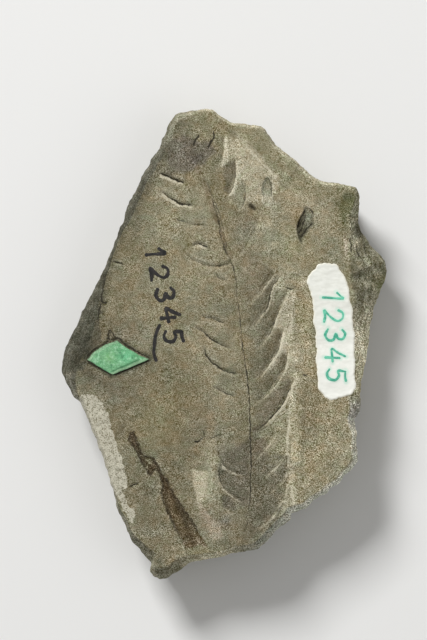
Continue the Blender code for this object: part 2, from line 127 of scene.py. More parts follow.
def region(x, y, corners):
    """Distance to a closed outline, positive inside it: a place is inside when a ray from it crosses the
    outline an odd number of times."""
    ring = np.array(tuple(corners) + (corners[0],), dtype=float)
    inside = np.zeros(np.shape(x), dtype=bool)
    for start, end in zip(ring[:-1], ring[1:]):
        if start[1] != end[1]:
            crossing = (end[0] - start[0]) * (y - start[1]) / (end[1] - start[1]) + start[0]
            inside ^= ((start[1] > y) != (end[1] > y)) & (x < crossing)
    distance = np.abs(measure(x, y, ring, 1)[0])
    return np.where(inside, distance, -distance)


# %% [markdown]
# ## The outline of the slab
# The slab is a kite with broken sides. Its outline is a table: across, along, and how wide the broken bevel
# inside it is at that place. The bevel is a few tenths of a millimetre where the edge is clean, and over
# 5 mm where the right side has flaked away layer by layer.

# %% Outline and driving sizes
THICKNESS = 12.5
DOME_LENGTHWAYS = 0.00038
DOME_SIDEWAYS = 0.0006
OUTLINE = (
    (-6.8, 39.8, 0.9), (-4.7, 40, 0.6), (-3, 40.3, 0.5), (-1.8, 40, 0.5), (-0.8, 39.1, 0.5),
    (0.4, 38.4, 0.5), (1.6, 37.7, 0.5), (3.2, 37.8, 0.5), (4.7, 37.4, 0.5), (6.4, 37.3, 0.5),
    (7.1, 36.7, 0.6), (8, 35.2, 0.6), (9.3, 33.7, 0.7), (11.4, 32, 0.8), (12.6, 31, 0.8),
    (13.8, 29.8, 0.7), (15.1, 28.8, 0.6), (16.3, 28, 0.6), (18.6, 27.6, 0.6), (21, 27.2, 0.6),
    (22.7, 26.8, 0.7), (23.1, 25.7, 1), (23.1, 23.5, 1.6), (23, 21.3, 2.2), (23.3, 19.4, 2.6),
    (24.4, 18, 3.2), (25.2, 16.7, 3.8), (26.6, 15.5, 4.6), (27.6, 14.1, 5.2), (27.9, 12.6, 5.3),
    (27.7, 10.9, 5.2), (27.1, 9.7, 4.9), (26.5, 8.3, 4.6), (25.8, 6.2, 4.2), (25.5, 4.7, 4),
    (25.1, 2.8, 3.8), (24.8, 0.8, 3.6), (24.6, -1.5, 3.4), (24.3, -3.3, 3.2), (23.8, -5.4, 2.9),
    (23.4, -7.3, 2.7), (23.4, -9.7, 2.4), (23.2, -11.5, 2), (22.3, -12.9, 1.4), (22.6, -14.6, 1.2),
    (22.7, -16.7, 1.1), (22.8, -18.7, 1.2), (22.9, -20.1, 1.3), (22, -21.5, 1.2), (20.6, -22.4, 1.1),
    (19.8, -23.7, 1.1), (18.2, -24.8, 1.1), (17.2, -25.7, 1.1), (15.1, -26.9, 1.1), (14.1, -28, 1.2),
    (12.9, -28.5, 1.3), (11.5, -28.9, 1.4), (11.3, -30.2, 1.5), (10.2, -31.1, 1.5), (8.8, -32.1, 1.5),
    (8, -33.1, 1.5), (6.9, -34.2, 1.4), (5.6, -35.2, 1.3), (3.3, -35.5, 1.2), (1.3, -35.8, 1.1),
    (-0.8, -36.4, 1.1), (-2.8, -36.9, 1.2), (-4.7, -37.1, 1.4), (-6.1, -37.5, 1.7), (-7.1, -38.4, 2),
    (-8.3, -39.2, 2.1), (-9.3, -39.9, 2.1), (-10.7, -40.3, 2), (-12.1, -39.9, 1.9), (-12.7, -38.9, 1.8),
    (-12.4, -37.6, 1.8), (-13.5, -36.4, 1.6), (-14.6, -35, 1.3), (-16, -33.4, 1), (-16.6, -31.6, 0.8),
    (-17.2, -30.3, 0.7), (-18.2, -28.5, 0.6), (-18.6, -26.8, 0.5), (-18.8, -25.2, 0.5),
    (-19.5, -23.7, 0.5), (-20, -21.6, 0.5), (-20.9, -19.2, 0.5), (-21.6, -17.2, 0.5), (-22.4, -15.1, 0.5),
    (-23.3, -13.1, 0.5), (-24, -11.2, 0.6), (-24.6, -9.9, 0.7), (-25.7, -9.1, 0.9), (-26.3, -7.8, 1.1),
    (-27, -6.4, 1.5), (-27.7, -5.3, 2.2), (-27.8, -4, 2.9), (-27.5, -2.5, 3.5), (-27.2, -0.9, 3.9),
    (-26.5, 0.8, 4.1), (-25.7, 2.1, 4), (-25.1, 3.5, 3.7), (-24.6, 4.9, 3.3), (-23.8, 6.2, 2.9),
    (-22.8, 8.2, 2.3), (-21.8, 10.3, 1.7), (-20.8, 12.2, 1), (-19.8, 14.3, 0.6), (-19.1, 16.1, 0.5),
    (-18.4, 18, 0.6), (-17.8, 19.9, 0.9), (-17, 21.6, 1.2), (-16.6, 23.5, 1.4), (-15.7, 25.2, 1.5),
    (-14.6, 27.3, 1.5), (-13.6, 29.4, 1.5), (-12.6, 31.3, 1.5), (-11.2, 33.3, 1.4), (-10.7, 34.8, 1.4),
    (-9.9, 36, 1.4), (-9.8, 37, 1.5), (-9.2, 38.2, 1.5), (-8.3, 39.3, 1.3))
CORNERS = ((-8.8, 38.7), (23.1, 26.3), (22.9, -20.1), (-12.4, -39.4))
print("outline of", len(OUTLINE), "places")

# %% [markdown]
# ## The fern in low relief
# The right half of the leaf is a row of overlapping lobes. Each dips towards its margin and meets the stone
# beyond it in a cliff of half a millimetre, which catches the light as a pale line. The left half shows thin
# vein furrows. Both are functions of the signed distance, so the relief is one sum over all lines. Sculpting
# by hand would also work, but a sum of named lines can be read, moved and deepened one by one.
#
# Each line below also carries how dark its stroke is and how pale the stone beside it, for the colouring.

# %% Lobes, furrows, steps and hollows
LOBES = (
    (0.45, 0.2, (0.1, 0.2, 0.1), (0.5, 0.9, 0.9, 0.6),
     ((-0.4, 30.2), (-0.3, 31.7), (0, 33.3), (0.1, 34.3), (0.1, 35.6))),
    (0.5, 0.12, (0.2, 0.35, 0.3, 0.2), (1.2, 1.0, 1.1, 0.9),
     ((0.5, 25), (1.3, 26.3), (1.9, 28.1), (2, 29.7), (2, 31.7))),
    (0.35, 0.12, (0.3, 0.45, 0.4, 0.2), (0.3, 0.4, 0.3, 0.2),
     ((2.8, 22.7), (3.3, 23.8), (3.6, 24.7), (3.6, 26.3), (3.6, 28))),
    (0.3, 0.15, (0.0, 0.15, 0.05), (0.0, 0.0, 0.1),
     ((2.1, 14.6), (3.3, 15.7), (4.5, 17.7), (5.6, 19.8), (6.1, 21.8))),
    (0.35, 0.3, (0.2, 0.5, 0.5, 0.2), (0.2, 0.5, 0.6, 0.3),
     ((7.8, 24.5), (8.1, 25.7), (8.1, 27.1), (7.6, 28.3), (7.1, 28.8))),
    (0.5, 0.3, (0.1, 0.2, 0.3, 0.3), (0.1, 0.45, 0.6, 0.5),
     ((4, 6.2), (5.2, 7.8), (6.1, 8.6), (6.8, 9.7), (7.6, 10.7), (9, 12.6))),
    (0.55, 0.55, (0.1, 0.4, 0.6, 0.5), (0.1, 0.4, 0.6, 0.5),
     ((4.4, 1.9), (5.4, 3.6), (6.4, 4.9), (7.3, 6.1), (7.7, 7.4), (8, 9), (8.6, 10.2), (9.8, 11.9))),
    (0.6, 0.55, (0.1, 0.4, 0.5, 0.2, 0.0), (0.1, 0.45, 0.8, 0.7, 0.4),
     ((4.9, -1.5), (6.1, -0.4), (7.1, 0.8), (8, 2.1), (8.6, 3.7), (9.3, 5.4), (9.8, 6.6), (10.5, 8),
      (11, 9.2))),
    (0.7, 0.55, (0.2, 0.3, 0.4, 0.4), (0.1, 0.6, 1.1, 1.3, 1.2),
     ((5.2, -6.3), (6.2, -5.6), (7.1, -4.3), (7.9, -3.2), (8.7, -2.1), (9.2, -1.2), (9.5, -0.2), (9.8, 1),
      (10.1, 2.6))),
    (0.65, 0.5, (0.2, 0.3, 0.3, 0.3, 0.2), (0.05, 0.3, 0.45, 0.8, 0.9),
     ((5.2, -10.2), (6.6, -9.3), (7.6, -8.3), (8.3, -7.5), (9, -6.7), (9.6, -5.8), (10.2, -4.7),
      (10.6, -3.5), (10.8, -2), (10.9, -0.9))),
    (0.7, 0.45, (0.9, 0.8, 0.9, 0.6, 0.4, 0.2), (0.3, 0.5, 1.0, 1.1, 1.3, 1.4),
     ((5.6, -14.6), (6.8, -13.8), (8, -12.7), (9, -11.5), (10, -10.3), (10.7, -9), (11.4, -7.3),
      (12.1, -5.4))),
    (0.35, 0.2, (0.1, 0.2, 0.1), (0.2, 0.6, 0.4), ((5.2, -19.8), (6.6, -18.4), (8, -16.7), (9, -15))),
    (0.35, 0.2, (0.1, 0.2, 0.1), (0.2, 0.6, 0.4),
     ((6.6, -23.2), (8, -21.8), (9.2, -20.6), (10.3, -19.1))),
    (0.35, 0.2, (0.1, 0.2, 0.1), (0.2, 0.6, 0.4), ((7.6, -25.6), (9, -24.5), (10.2, -23.2), (11, -21.6))),
    (0.3, 0.2, (0.1, 0.15, 0.1), (0.2, 0.5, 0.4),
     ((5.6, -31.9), (6.4, -31.2), (7.4, -30.4), (8.3, -29.5), (9.2, -28.4))))
GROOVES = (
    (0.4, 0.26, (0.5, 0.8, 0.8, 0.4), (1.3, 1.4, 1.0, 0.5),
     ((-11.2, 29.2), (-9.8, 28.7), (-8.5, 28.1), (-6.6, 27.4))),
    (0.4, 0.26, (0.1, 0.3, 0.9, 0.8, 0.3), (0.9, 1.1, 1.0, 0.9, 0.4),
     ((-10.9, 26.3), (-9.5, 25.1), (-8.5, 24.5), (-7.3, 23.9), (-5, 23.6))),
    (0.06, 0.2, (0.3, 0.4, 0.3, 0.4, 0.3), (0.0, 0.1, 0.1),
     ((-8.5, 21.8), (-7.8, 21.1), (-6.8, 20.9), (-5.7, 20.4), (-4.2, 20.4), (-2.7, 20.1))),
    (0.3, 0.35, (0.1, 0.5, 0.9), (0.4, 0.9, 0.8), ((-5.6, 16.7), (-4.2, 17.1), (-2.7, 16.4))),
    (0.2, 0.3, (0.1, 0.3, 0.3, 0.45, 0.3), (0.1, 0.2, 0.1),
     ((-6.2, 16), (-5.9, 14.8), (-4.7, 14.1), (-3.3, 13.5), (-1.5, 13.3), (0.1, 13.5), (1.5, 13.9))),
    (0.18, 0.3, (0.3, 0.45, 0.2), (0.1, 0.2, 0.1), ((-1.6, 12.2), (-0.8, 11.2), (0.9, 10.9))),
    (0.2, 0.28, (0.5, 0.35, 0.45, 0.3), (0.05, 0.1, 0.15),
     ((-4, 5.4), (-3.3, 4.5), (-2, 4.4), (-0.9, 3.9), (0.3, 3.3))),
    (0.22, 0.28, (0.35, 0.35, 0.7, 0.5, 0.3), (0.2, 0.3, 0.3, 0.2),
     ((-5.4, 3.2), (-4, 2.3), (-3.3, 2), (-2.7, 1.1), (-1.6, 0.5), (-0.3, -0.3), (1.5, -0.9))),
    (0.28, 0.3, (0.4, 0.7, 0.85, 0.7, 0.45, 0.2), (0.1, 0.3, 0.35, 0.3, 0.2),
     ((-3.3, -0.1), (-3.2, -1.5), (-2.5, -2.7), (-1.3, -3.8), (-0.1, -4.5), (1.3, -5), (2.8, -5.3))),
    (0.22, 0.3, (0.2, 0.45, 0.3), (0.1, 0.2, 0.1), ((-2.1, -7.1), (-1.1, -7.7), (0.4, -8.5), (2.1, -9))),
    (0.15, 0.3, (0.15, 0.25, 0.15, 0.05, 0.0), (0.0, 0.5, 0.7, 0.5, 0.2),
     ((-1.1, -17.9), (-0.8, -19.2), (-0.3, -20.5), (0.4, -21.2), (1.5, -21.8), (2.5, -22.2),
      (3.7, -22.3))),
    (0.15, 0.3, (0.3, 0.4, 0.3, 0.05, 0.0), (0.0, 0.1, 0.6, 0.6, 0.4),
     ((-0.8, -20.3), (-0.9, -21.8), (-0.7, -23.1), (-0.2, -24.4), (0.7, -25.3), (1.6, -26), (2.7, -26.7),
      (3.8, -27.2))),
    (0.1, 0.2, (0.3, 0.4, 0.4, 0.4, 0.35, 0.4, 0.45, 0.55, 0.7, 0.65, 0.6, 0.5, 0.3), (0.0, 0.25, 0.4),
     ((-4.7, 30.5), (-3.5, 28.7), (-2.7, 26.6), (-2.1, 24.9), (-1.7, 23.3), (-1.1, 21.5), (-0.7, 19.2),
      (-0.1, 16.7), (0.8, 14.8), (1.5, 13.1), (2.1, 10.5), (2.2, 8.1), (2.7, 4.4), (3, 0.6), (3.5, -2.8),
      (4, -6.4), (4.3, -9.7), (4.4, -13.1), (4.5, -16.5), (4.6, -19.9), (4.5, -23.3), (4.4, -27.1),
      (3.9, -30.2), (3.6, -33.3))),
    (0.1, 0.22, (0.2, 0.35, 0.3), (0.0, 0.15, 0.1),
     ((-4, 29.5), (-3, 27.8), (-2.1, 25.6), (-1.3, 23.5), (-0.6, 21.5), (-0.1, 19.4), (0.4, 16.8),
      (1, 15))),
    (0.04, 0.2, (0.6, 0.5, 0.4, 0.4), (0.0, 0.0),
     ((-5.2, -16.6), (-4.3, -16.7), (-3.6, -16.1), (-2.9, -15.8))),
    (0.04, 0.2, (0.3, 0.4, 0.4), (0.0, 0.0), ((-4, -14.5), (-3.4, -15.3), (-3.3, -16))),
    (0.04, 0.2, (0.3, 0.5, 0.5, 0.3), (0.0, 0.0),
     ((-3.3, -16), (-2.1, -16.1), (-0.8, -15.5), (-0.2, -15.9))),
    (0.2, 0.25, (0.6, 0.6, 0.4), (0.0, 0.0), ((-16.2, -24.4), (-15.3, -24.1), (-14.4, -23.7))),
    (0.15, 0.25, (0.2, 0.4, 0.2), (0.0, 0.0), ((3.5, -29.3), (3.9, -30.5), (3.5, -32.9))),
    (0.1, 0.25, (0.8, 1.4, 1.0), (0.0, 0.1), ((-4.2, 35.9), (-4.8, 35), (-5.2, 34.3), (-5.2, 33.8))),
    (0.1, 0.25, (0.6, 1.2, 1.4, 1.0), (0.0, 0.1),
     ((-1.8, 36.6), (-1.8, 35.3), (-2.5, 34.1), (-2.8, 33.2))),
    (0.05, 0.2, (0.4, 0.6, 0.4), (0.0, 0.0), ((10.5, 9.7), (11.4, 9.3), (12.4, 9.8))),
    (0.05, 0.2, (0.4, 0.6, 0.4), (0.0, 0.0), ((13.3, -5.2), (13.9, -5.4), (14.5, -5.2))),
    (0.06, 0.2, (0.8, 1.0, 0.8, 0.4), (0.0, 0.0), ((12.5, 19.6), (12.9, 21), (13.6, 22.3), (13.9, 23.2))),
    (0.06, 0.2, (0.5, 0.7, 0.4), (0.0, 0.2, 0.0),
     ((12.9, 18.7), (13.3, 19.9), (13.8, 21.3), (14.1, 22.3))),
    (0.06, 0.2, (0.6, 0.8, 0.4), (0.0, 0.2, 0.0), ((13.1, 18), (13.8, 19.1), (14.6, 20.1), (15.3, 20.8))),
    (0.06, 0.2, (0.5, 0.6, 0.3), (0.0, 0.0), ((14.6, 23.3), (15.1, 22.5), (15.2, 21.6))),
    (0.15, 0.2, (0.8, 0.7), (0.0, 0.0), ((-20.9, 7), (-20.4, 7.1), (-19.9, 7.1))),
    (0.05, 0.2, (0.3, 0.6, 0.8, 0.5), (0.0, 0.0),
     ((-20, 13.2), (-20.5, 10.6), (-20.9, 8.3), (-21.4, 5.5), (-21.5, 2.6))),
    (0.1, 0.2, (0.3, 0.7, 0.3), (0.0, 0.0), ((-19.4, 13.9), (-18.6, 14), (-17.7, 13.8), (-17.2, 13.3))),
    (0.05, 0.2, (0.8, 1.0, 1.0), (0.0, 0.0), ((-19.5, 2.7), (-19.7, 1.8), (-19.8, 0.7))),
    (0.05, 0.2, (0.7, 0.8, 0.7), (0.0, 0.0), ((-19.5, 2.6), (-19.1, 1.8), (-18.6, 1.2), (-18.1, 0.8))),
    (0.05, 0.2, (1.0, 1.2, 1.2, 0.9), (0.0, 0.0),
     ((-19.9, 0.8), (-19, 0.75), (-18.1, 0.9), (-17.3, 0.5))),
    (0.05, 0.2, (0.8, 1.1, 0.8, 0.4, 0.5, 0.9), (0.0, 0.0),
     ((-23.5, -2.5), (-22.9, -1.7), (-22, -0.9), (-21.2, -0.4), (-20.3, 0.1), (-19.4, 0.7))),
    # these two lines along the paper diamond's lower edges are its painted shadow on the stone
    (0.05, 0.2, (0.9, 1.1, 1.0, 1.2), (0.0, 0.0), ((-23.5, -2.9), (-21.3, -4.2), (-19.1, -5.5))),
    (0.05, 0.2, (1.2, 1.0, 1.1, 0.8), (0.0, 0.0), ((-19, -5.5), (-15.9, -4.1), (-12.6, -2.7))),
    (0.05, 0.2, (1.1, 0.6, 1.0, 0.7, 1.0), (0.0, 0.0), ((-18.1, 0.7), (-15.6, -0.9), (-12.7, -2.5))),
    (0.15, 0.3, (0.3, 0.6, 0.5), (0.1, 0.2), ((21.4, 18.2), (21.7, 16.9), (21.6, 15.4))),
    (0.15, 0.3, (0.3, 0.6, 0.4), (0.1, 0.2), ((22.6, 17), (22.7, 15.9), (23.1, 14.9))),
    (-0.08, 0.25, (0.0, 0.0), (0.5, 0.8, 1.0, 0.9, 0.5),
     ((3.4, 34.6), (4.6, 33.4), (5.7, 32.1), (6.7, 31), (7.6, 30.2), (8.4, 29.4), (9.2, 28.4),
      (9.9, 27.4))),
    (-0.08, 0.2, (0.0, 0.0), (0.5, 0.8, 0.7), ((11.8, 6.5), (11.75, 3.7), (11.6, 1.5))),
    (-0.12, 0.2, (0.0, 0.0), (0.5, 0.9, 1.0, 0.9, 0.8, 0.7),
     ((11.4, -9.5), (11.4, -12), (11.3, -14.5), (11.1, -17), (11.2, -19.3), (11.4, -21.5),
      (11.6, -23.2))),
    (-0.1, 0.2, (0.0, 0.0), (0.6, 0.7, 0.5), ((11.9, -20.1), (11.7, -21.2), (11.4, -22.3))),
    (-0.08, 0.2, (0.0, 0.0), (0.5, 0.4), ((11.8, -20.5), (12.4, -20.3), (13.1, -20))),
    (-0.08, 0.2, (0.0, 0.0), (0.5, 0.4), ((10.9, -22), (10.6, -23.2))),
    (-0.12, 0.2, (0.0, 0.0), (0.6, 1.0, 1.1, 0.9),
     ((11.5, -23.2), (11.7, -24.5), (12, -26.1), (12.2, -28))),
    (-0.1, 0.2, (0.0, 0.0), (0.5, 0.7, 0.4), ((11.3, -23.7), (10.9, -25.2), (10.7, -26.6))),
    (-0.1, 0.2, (0.0, 0.0), (0.4, 0.7, 0.4), ((10.4, -26.8), (9.8, -27.6), (9.3, -28.2), (9.2, -29))),
    (-0.06, 0.2, (0.0, 0.0), (0.4, 0.4), ((10.3, -23.2), (9.5, -24.1), (8.8, -25.1))))
LEDGE = (0.25, ((-1.5, 39), (0.1, 36.9), (1.5, 36.2), (3, 35), (4.5, 33.8), (6.1, 32.2), (7.3, 30.9),
                (8.6, 29.3), (9.7, 27.3), (11.4, 26.3)))
FAULTS = (
    (0.25,
     ((11.2, -4.9), (11.7, -9.3), (11.4, -13.9), (11.1, -17.4), (11.5, -20.3), (11.6, -22.5), (12, -25.1),
      (12.4, -28.1), (12.6, -31))),
    (-0.2, ((11.7, -20.8), (11, -22), (10.5, -23.7), (10.2, -25.9), (9.2, -28.8), (8.8, -31))))
PIT = (
    (13.7, 23.3), (14.1, 23.5), (14.8, 23.2), (15.1, 22.3), (15.3, 21.5), (15.5, 20.4), (14.8, 19.6),
    (14.1, 18.7), (13.4, 18), (13.3, 17), (12.9, 17.7), (12.6, 18.7), (12.4, 19.6), (12.7, 20.8),
    (13.3, 22), (13.6, 22.8))
PIT_DEPTH = 0.6
SMALL_PIT = (0.6, ((4.6, 23.6), (5.2, 22.9)), (0.35, 0.35))
STEM = (0.22, ((-16, -15), (-15.3, -16.5), (-14.3, -18.6), (-12.4, -20.3), (-10.9, -22), (-9.7, -24),
               (-8.8, -26.3), (-7.8, -28.7), (-6.6, -31.2), (-5.4, -33.4), (-4.7, -35.2)),
        (0.4, 0.5, 0.4, 0.45, 0.5, 0.6, 1.1, 1.6, 1.7, 1.8, 1.9))
STEM_BRANCH = (0.15, ((-14.3, -18.6), (-13.8, -20.1), (-12.7, -22)), (0.3, 0.4, 0.5))
LEFT_VEINS = GROOVES[:12]
print(len(LOBES), "lobes,", len(GROOVES), "furrows and cracks")

# %% [markdown]
# ## From lines to heights
# Each kind of line has its own cross-section, a short formula of the signed distance. The face is a shallow
# dome with all of them added. The finest noise comes last and apart, so the coats of paint further down can
# ask for the height with it or without it.

# %% The height of the leaf face
def lobe(x, y, height, points):
    """A dip that deepens exponentially towards the margin, a cliff eased over 0.35 mm, then a rise that dies
    away beyond it; all of it fades at both ends of the line."""
    distance, along = measure(x, y, points)
    distance = -distance
    fade = smooth(along / 0.18) * smooth((1.0 - along) / 0.18)
    beyond = smooth(distance / 0.35 + 0.5)
    rise = 0.5 * beyond * np.exp(-np.maximum(distance, 0.0) / 1.3)
    dip = 0.65 * (1.0 - beyond) * np.exp(np.minimum(distance, 0.0) / 1.5)
    return fade * height * (rise - dip)


def groove(x, y, depth, half_width, points):
    """A bell-shaped furrow along the line, with a low swelling on its left that dies away over 1.3 mm."""
    distance, along = measure(x, y, points)
    fade = smooth(along / 0.15) * smooth((1.0 - along) / 0.15)
    furrow = np.exp(-(distance / half_width) ** 2)
    swell = 0.5 * smooth(distance / half_width) * np.exp(-np.maximum(distance, 0.0) / 1.3)
    return fade * depth * (swell - furrow)


def step_up(x, y, height, points, reach=9.0):
    """Ground raised on the left of a line, which sinks back to nothing `reach` away from it."""
    distance, along = measure(x, y, points)
    fade = smooth(along / 0.05) * smooth((1.0 - along) / 0.1)
    return fade * height * smooth(distance / 0.5 + 0.5) * (1.0 - smooth(distance / reach))


def hollow_edge(x, y, points, half_widths):
    """Distance inside the edge of a hollow whose half width is given at each point of its middle line."""
    distance, along = measure(x, y, points)
    knots = np.array(points, dtype=float)
    stations = np.concatenate(([0.0], np.cumsum(np.hypot(*(knots[1:] - knots[:-1]).T))))
    return np.interp(along, stations / stations[-1], half_widths) - np.abs(distance)


def pit_floor(x, y):
    """How deep the pit is, 0 to 1: an eased edge, deepest at the lower left, with a jagged floor."""
    inside = region(x, y, PIT)
    lean = 0.45 + 0.55 * smooth((14.6 - x + 0.25 * (19.5 - y)) / 1.8)
    return smooth(inside / 0.5 + 0.3) * lean * (1.0 + 0.5 * rough(x, y, 0.0, 0.55, 25))


def streaks(x, y, lines):
    """Fine ribs that run beside a lobe's margin: noise long along the line and short across it, strongest
    at the line and gone 3 mm inside the lobe."""
    total = np.zeros(np.shape(x))
    for line in lines:
        distance, along = measure(x, y, line[-1])
        length = np.hypot(*(np.array(line[-1][-1]) - line[-1][0]))
        weight = smooth(distance / 0.3 + 0.5) * np.exp(-np.maximum(distance, 0.0) / 1.6)
        weight = weight * smooth(along / 0.1) * smooth((1.0 - along) / 0.1)
        total = total + weight * rough(along * length, distance * 5.5, 0.0, 2.2, 26)
    return total


def flakes(x, y):
    """Thin flakes of split shale: the ground steps down wherever slow noise passes a few set levels."""
    slow = rough(x, y, 0.0, 7.5, 71) + 0.3 * rough(x, y, 0.0, 1.6, 72) + 0.12 * rough(x, y, 0.0, 0.6, 73)
    total = 0.0
    for level in (-0.42, -0.12, 0.2, 0.5):
        total = total + smooth((slow - level) / 0.07 + 0.5)
    return total


def face_height(x, y):
    """The face: a shallow dome, three sizes of swelling, and the sum of lobes, furrows, steps, hollows."""
    height = THICKNESS - DOME_LENGTHWAYS * y ** 2 - DOME_SIDEWAYS * x ** 2
    height = height + 0.24 * rough(x, y, 0.0, 11.0, 3) + 0.1 * rough(x, y, 0.0, 4.3, 4)
    height = height + 0.035 * rough(x, y, 0.0, 1.9, 5)
    for rise, *_, points in LOBES:
        height = height + lobe(x, y, rise, points)
    for depth, half_width, *_, points in GROOVES:
        height = height + groove(x, y, depth, half_width, points)
    height = height + step_up(x, y, *LEDGE)
    for rise, points in FAULTS:
        height = height + step_up(x, y, rise, points, 5.0)
    for depth, points, half_widths in (SMALL_PIT, STEM, STEM_BRANCH):
        height = height - depth * smooth(hollow_edge(x, y, points, half_widths) / 0.25 + 0.5)
    return height - PIT_DEPTH * pit_floor(x, y)


def stone_height(x, y):
    """The face with its grain: two sizes of fine noise, ribs in the lobes and thin flakes."""
    grain = 0.022 * rough(x, y, 0.0, 0.83, 21) + 0.018 * rough(x, y, 0.0, 0.41, 22)
    ribs = 0.06 * streaks(x, y, LOBES + LEFT_VEINS)
    return face_height(x, y) + grain + ribs + 0.045 * (flakes(x, y) - 2.0)


print("height at the middle:", round(float(stone_height(np.array([0.0]), np.array([0.0]))[0]), 3), "mm")

# %% [markdown]
# ## A grid that fits the outline
# The face needs a grid of places, and the outline has four rough sides. A Coons patch blends each row from
# the opposite sides, so the grid's edge lies exactly on the outline. A triangulated outline would fit too,
# but a grid keeps even cells, and its edge loop carries on down the wall without a seam.

# %% Rims and patch
ACROSS = 200
ALONG = 300


def blur(values, spread):
    """Blur rows that run round a closed loop: each Fourier term shrinks by a bell curve of its rate."""
    turns = np.fft.fftfreq(len(values))
    keep = np.exp(-2.0 * (math.pi * turns * spread) ** 2)
    return np.real(np.fft.ifft(np.fft.fft(values, axis=0) * keep[:, None], axis=0))


def picked_places(loop, corners, across, along):
    """Places on a closed loop of dense points, as point numbers with fractions: evenly spaced between the
    points nearest to four corners, top, right, bottom, left."""
    starts = [int(np.argmin(np.hypot(*(loop - corner).T))) for corner in np.array(corners)]
    picked = []
    for number, cells in enumerate((across, along, across, along)):
        span = (starts[(number + 1) % 4] - starts[number]) % len(loop)
        picked.append(starts[number] + span * np.arange(cells) / cells)
    return np.concatenate(picked) % len(loop)


def between(loop, picked):
    """Points of a closed loop at numbers with fractions, each blended from its two neighbours."""
    low = picked.astype(int)
    part = (picked - low)[:, None]
    return loop[low] * (1.0 - part) + loop[(low + 1) % len(loop)] * part


def dense_loop(table, spacing):
    """Rows of numbers round a closed outline, evenly spaced along it; the first two are its places."""
    closed = np.array(tuple(table) + tuple(table[:1]), dtype=float)
    lengths = np.concatenate(([0.0], np.cumsum(np.hypot(*(closed[1:, :2] - closed[:-1, :2]).T))))
    places = np.arange(0.0, lengths[-1], spacing)
    return np.column_stack([np.interp(places, lengths, column) for column in closed.T])


def rims(across, along):
    """The widest line, the edge of the face and the edge of the underside, place by place.

    The edge of the face is the outline moved inwards by the bevel's width; the underside's is blurred and
    moved inwards by an uneven undercut. Sides run top, right, bottom, left.
    """
    spacing = 0.05
    dense = dense_loop(OUTLINE, spacing)
    outer = blur(dense[:, :2], 0.2 / spacing)
    wide = blur(dense[:, :2], 8.0 / spacing)
    heading = np.roll(wide, -1, axis=0) - np.roll(wide, 1, axis=0)
    inward = np.column_stack((heading[:, 1], -heading[:, 0]))
    inward /= np.hypot(*inward.T)[:, None]
    jag = 0.13 * rough(outer[:, 0], outer[:, 1], 0.0, 1.1, 9)
    jag = jag + 0.09 * rough(outer[:, 0], outer[:, 1], 0.0, 0.5, 10)
    outer = outer + inward * jag[:, None]
    width = blur(dense[:, 2:], 0.8 / spacing)[:, 0]
    width = width * (1.0 + 0.22 * rough(outer[:, 0], outer[:, 1], 0.0, 2.3, 8))
    inner = blur(blur(dense[:, :2], 0.5 / spacing) + inward * (width + 0.7 * jag)[:, None], 0.35 / spacing)
    undercut = 1.3 + 0.7 * rough(outer[:, 0], outer[:, 1], 0.0, 7.0, 13)
    undercut = undercut + 0.35 * rough(outer[:, 0], outer[:, 1], 0.0, 2.6, 16)
    base = blur(blur(dense[:, :2], 1.6 / spacing) + inward * undercut[:, None], 0.3 / spacing)
    picked = picked_places(outer, CORNERS, across, along)
    return [between(line, picked) for line in (outer, inner, base)]


def patch(rim, across, along, passes):
    """Coons patch: the blend of top and bottom plus the blend of left and right minus that of the corners,
    then each place moves to the middle of its neighbours a number of times."""
    closed = np.vstack((rim, rim[:1]))
    top = closed[:across + 1]
    right = closed[across:across + along + 1]
    bottom = closed[across + along:2 * across + along + 1][::-1]
    left = closed[2 * across + along:][::-1]
    u = np.linspace(0.0, 1.0, across + 1)[None, :, None]
    v = np.linspace(0.0, 1.0, along + 1)[:, None, None]
    places = (1.0 - v) * top[None] + v * bottom[None] + (1.0 - u) * left[:, None] + u * right[:, None]
    places -= ((1.0 - u) * (1.0 - v) * top[0] + u * (1.0 - v) * top[-1]
               + (1.0 - u) * v * bottom[0] + u * v * bottom[-1])
    for _ in range(passes):
        places[1:-1, 1:-1] = 0.25 * (places[:-2, 1:-1] + places[2:, 1:-1]
                                     + places[1:-1, :-2] + places[1:-1, 2:])
    return places


outer, inner, base = rims(ACROSS, ALONG)
face = patch(inner, ACROSS, ALONG, 120)
even_outline = blur(dense_loop(OUTLINE, 0.05)[:, :2], 5.0)
MIDDLE = 0.5 * (even_outline.min(axis=0) + even_outline.max(axis=0))
print("outline measures", np.round(np.ptp(outer, axis=0), 2), "mm; its middle is", np.round(MIDDLE, 3))

# %% [markdown]
# ## The broken side
# Shale breaks in layers. From the face the wall first slopes out over the bevel in little terraces, reaches
# the widest line, then drops and tucks in towards the underside. Each row of the wall is a blend between
# two outlines, pushed about by noise: long flat cells for the beds, round cells for lumps and chips.

# %% Rows of the wall
BEVEL_ROWS = 16
WALL_ROWS = 20


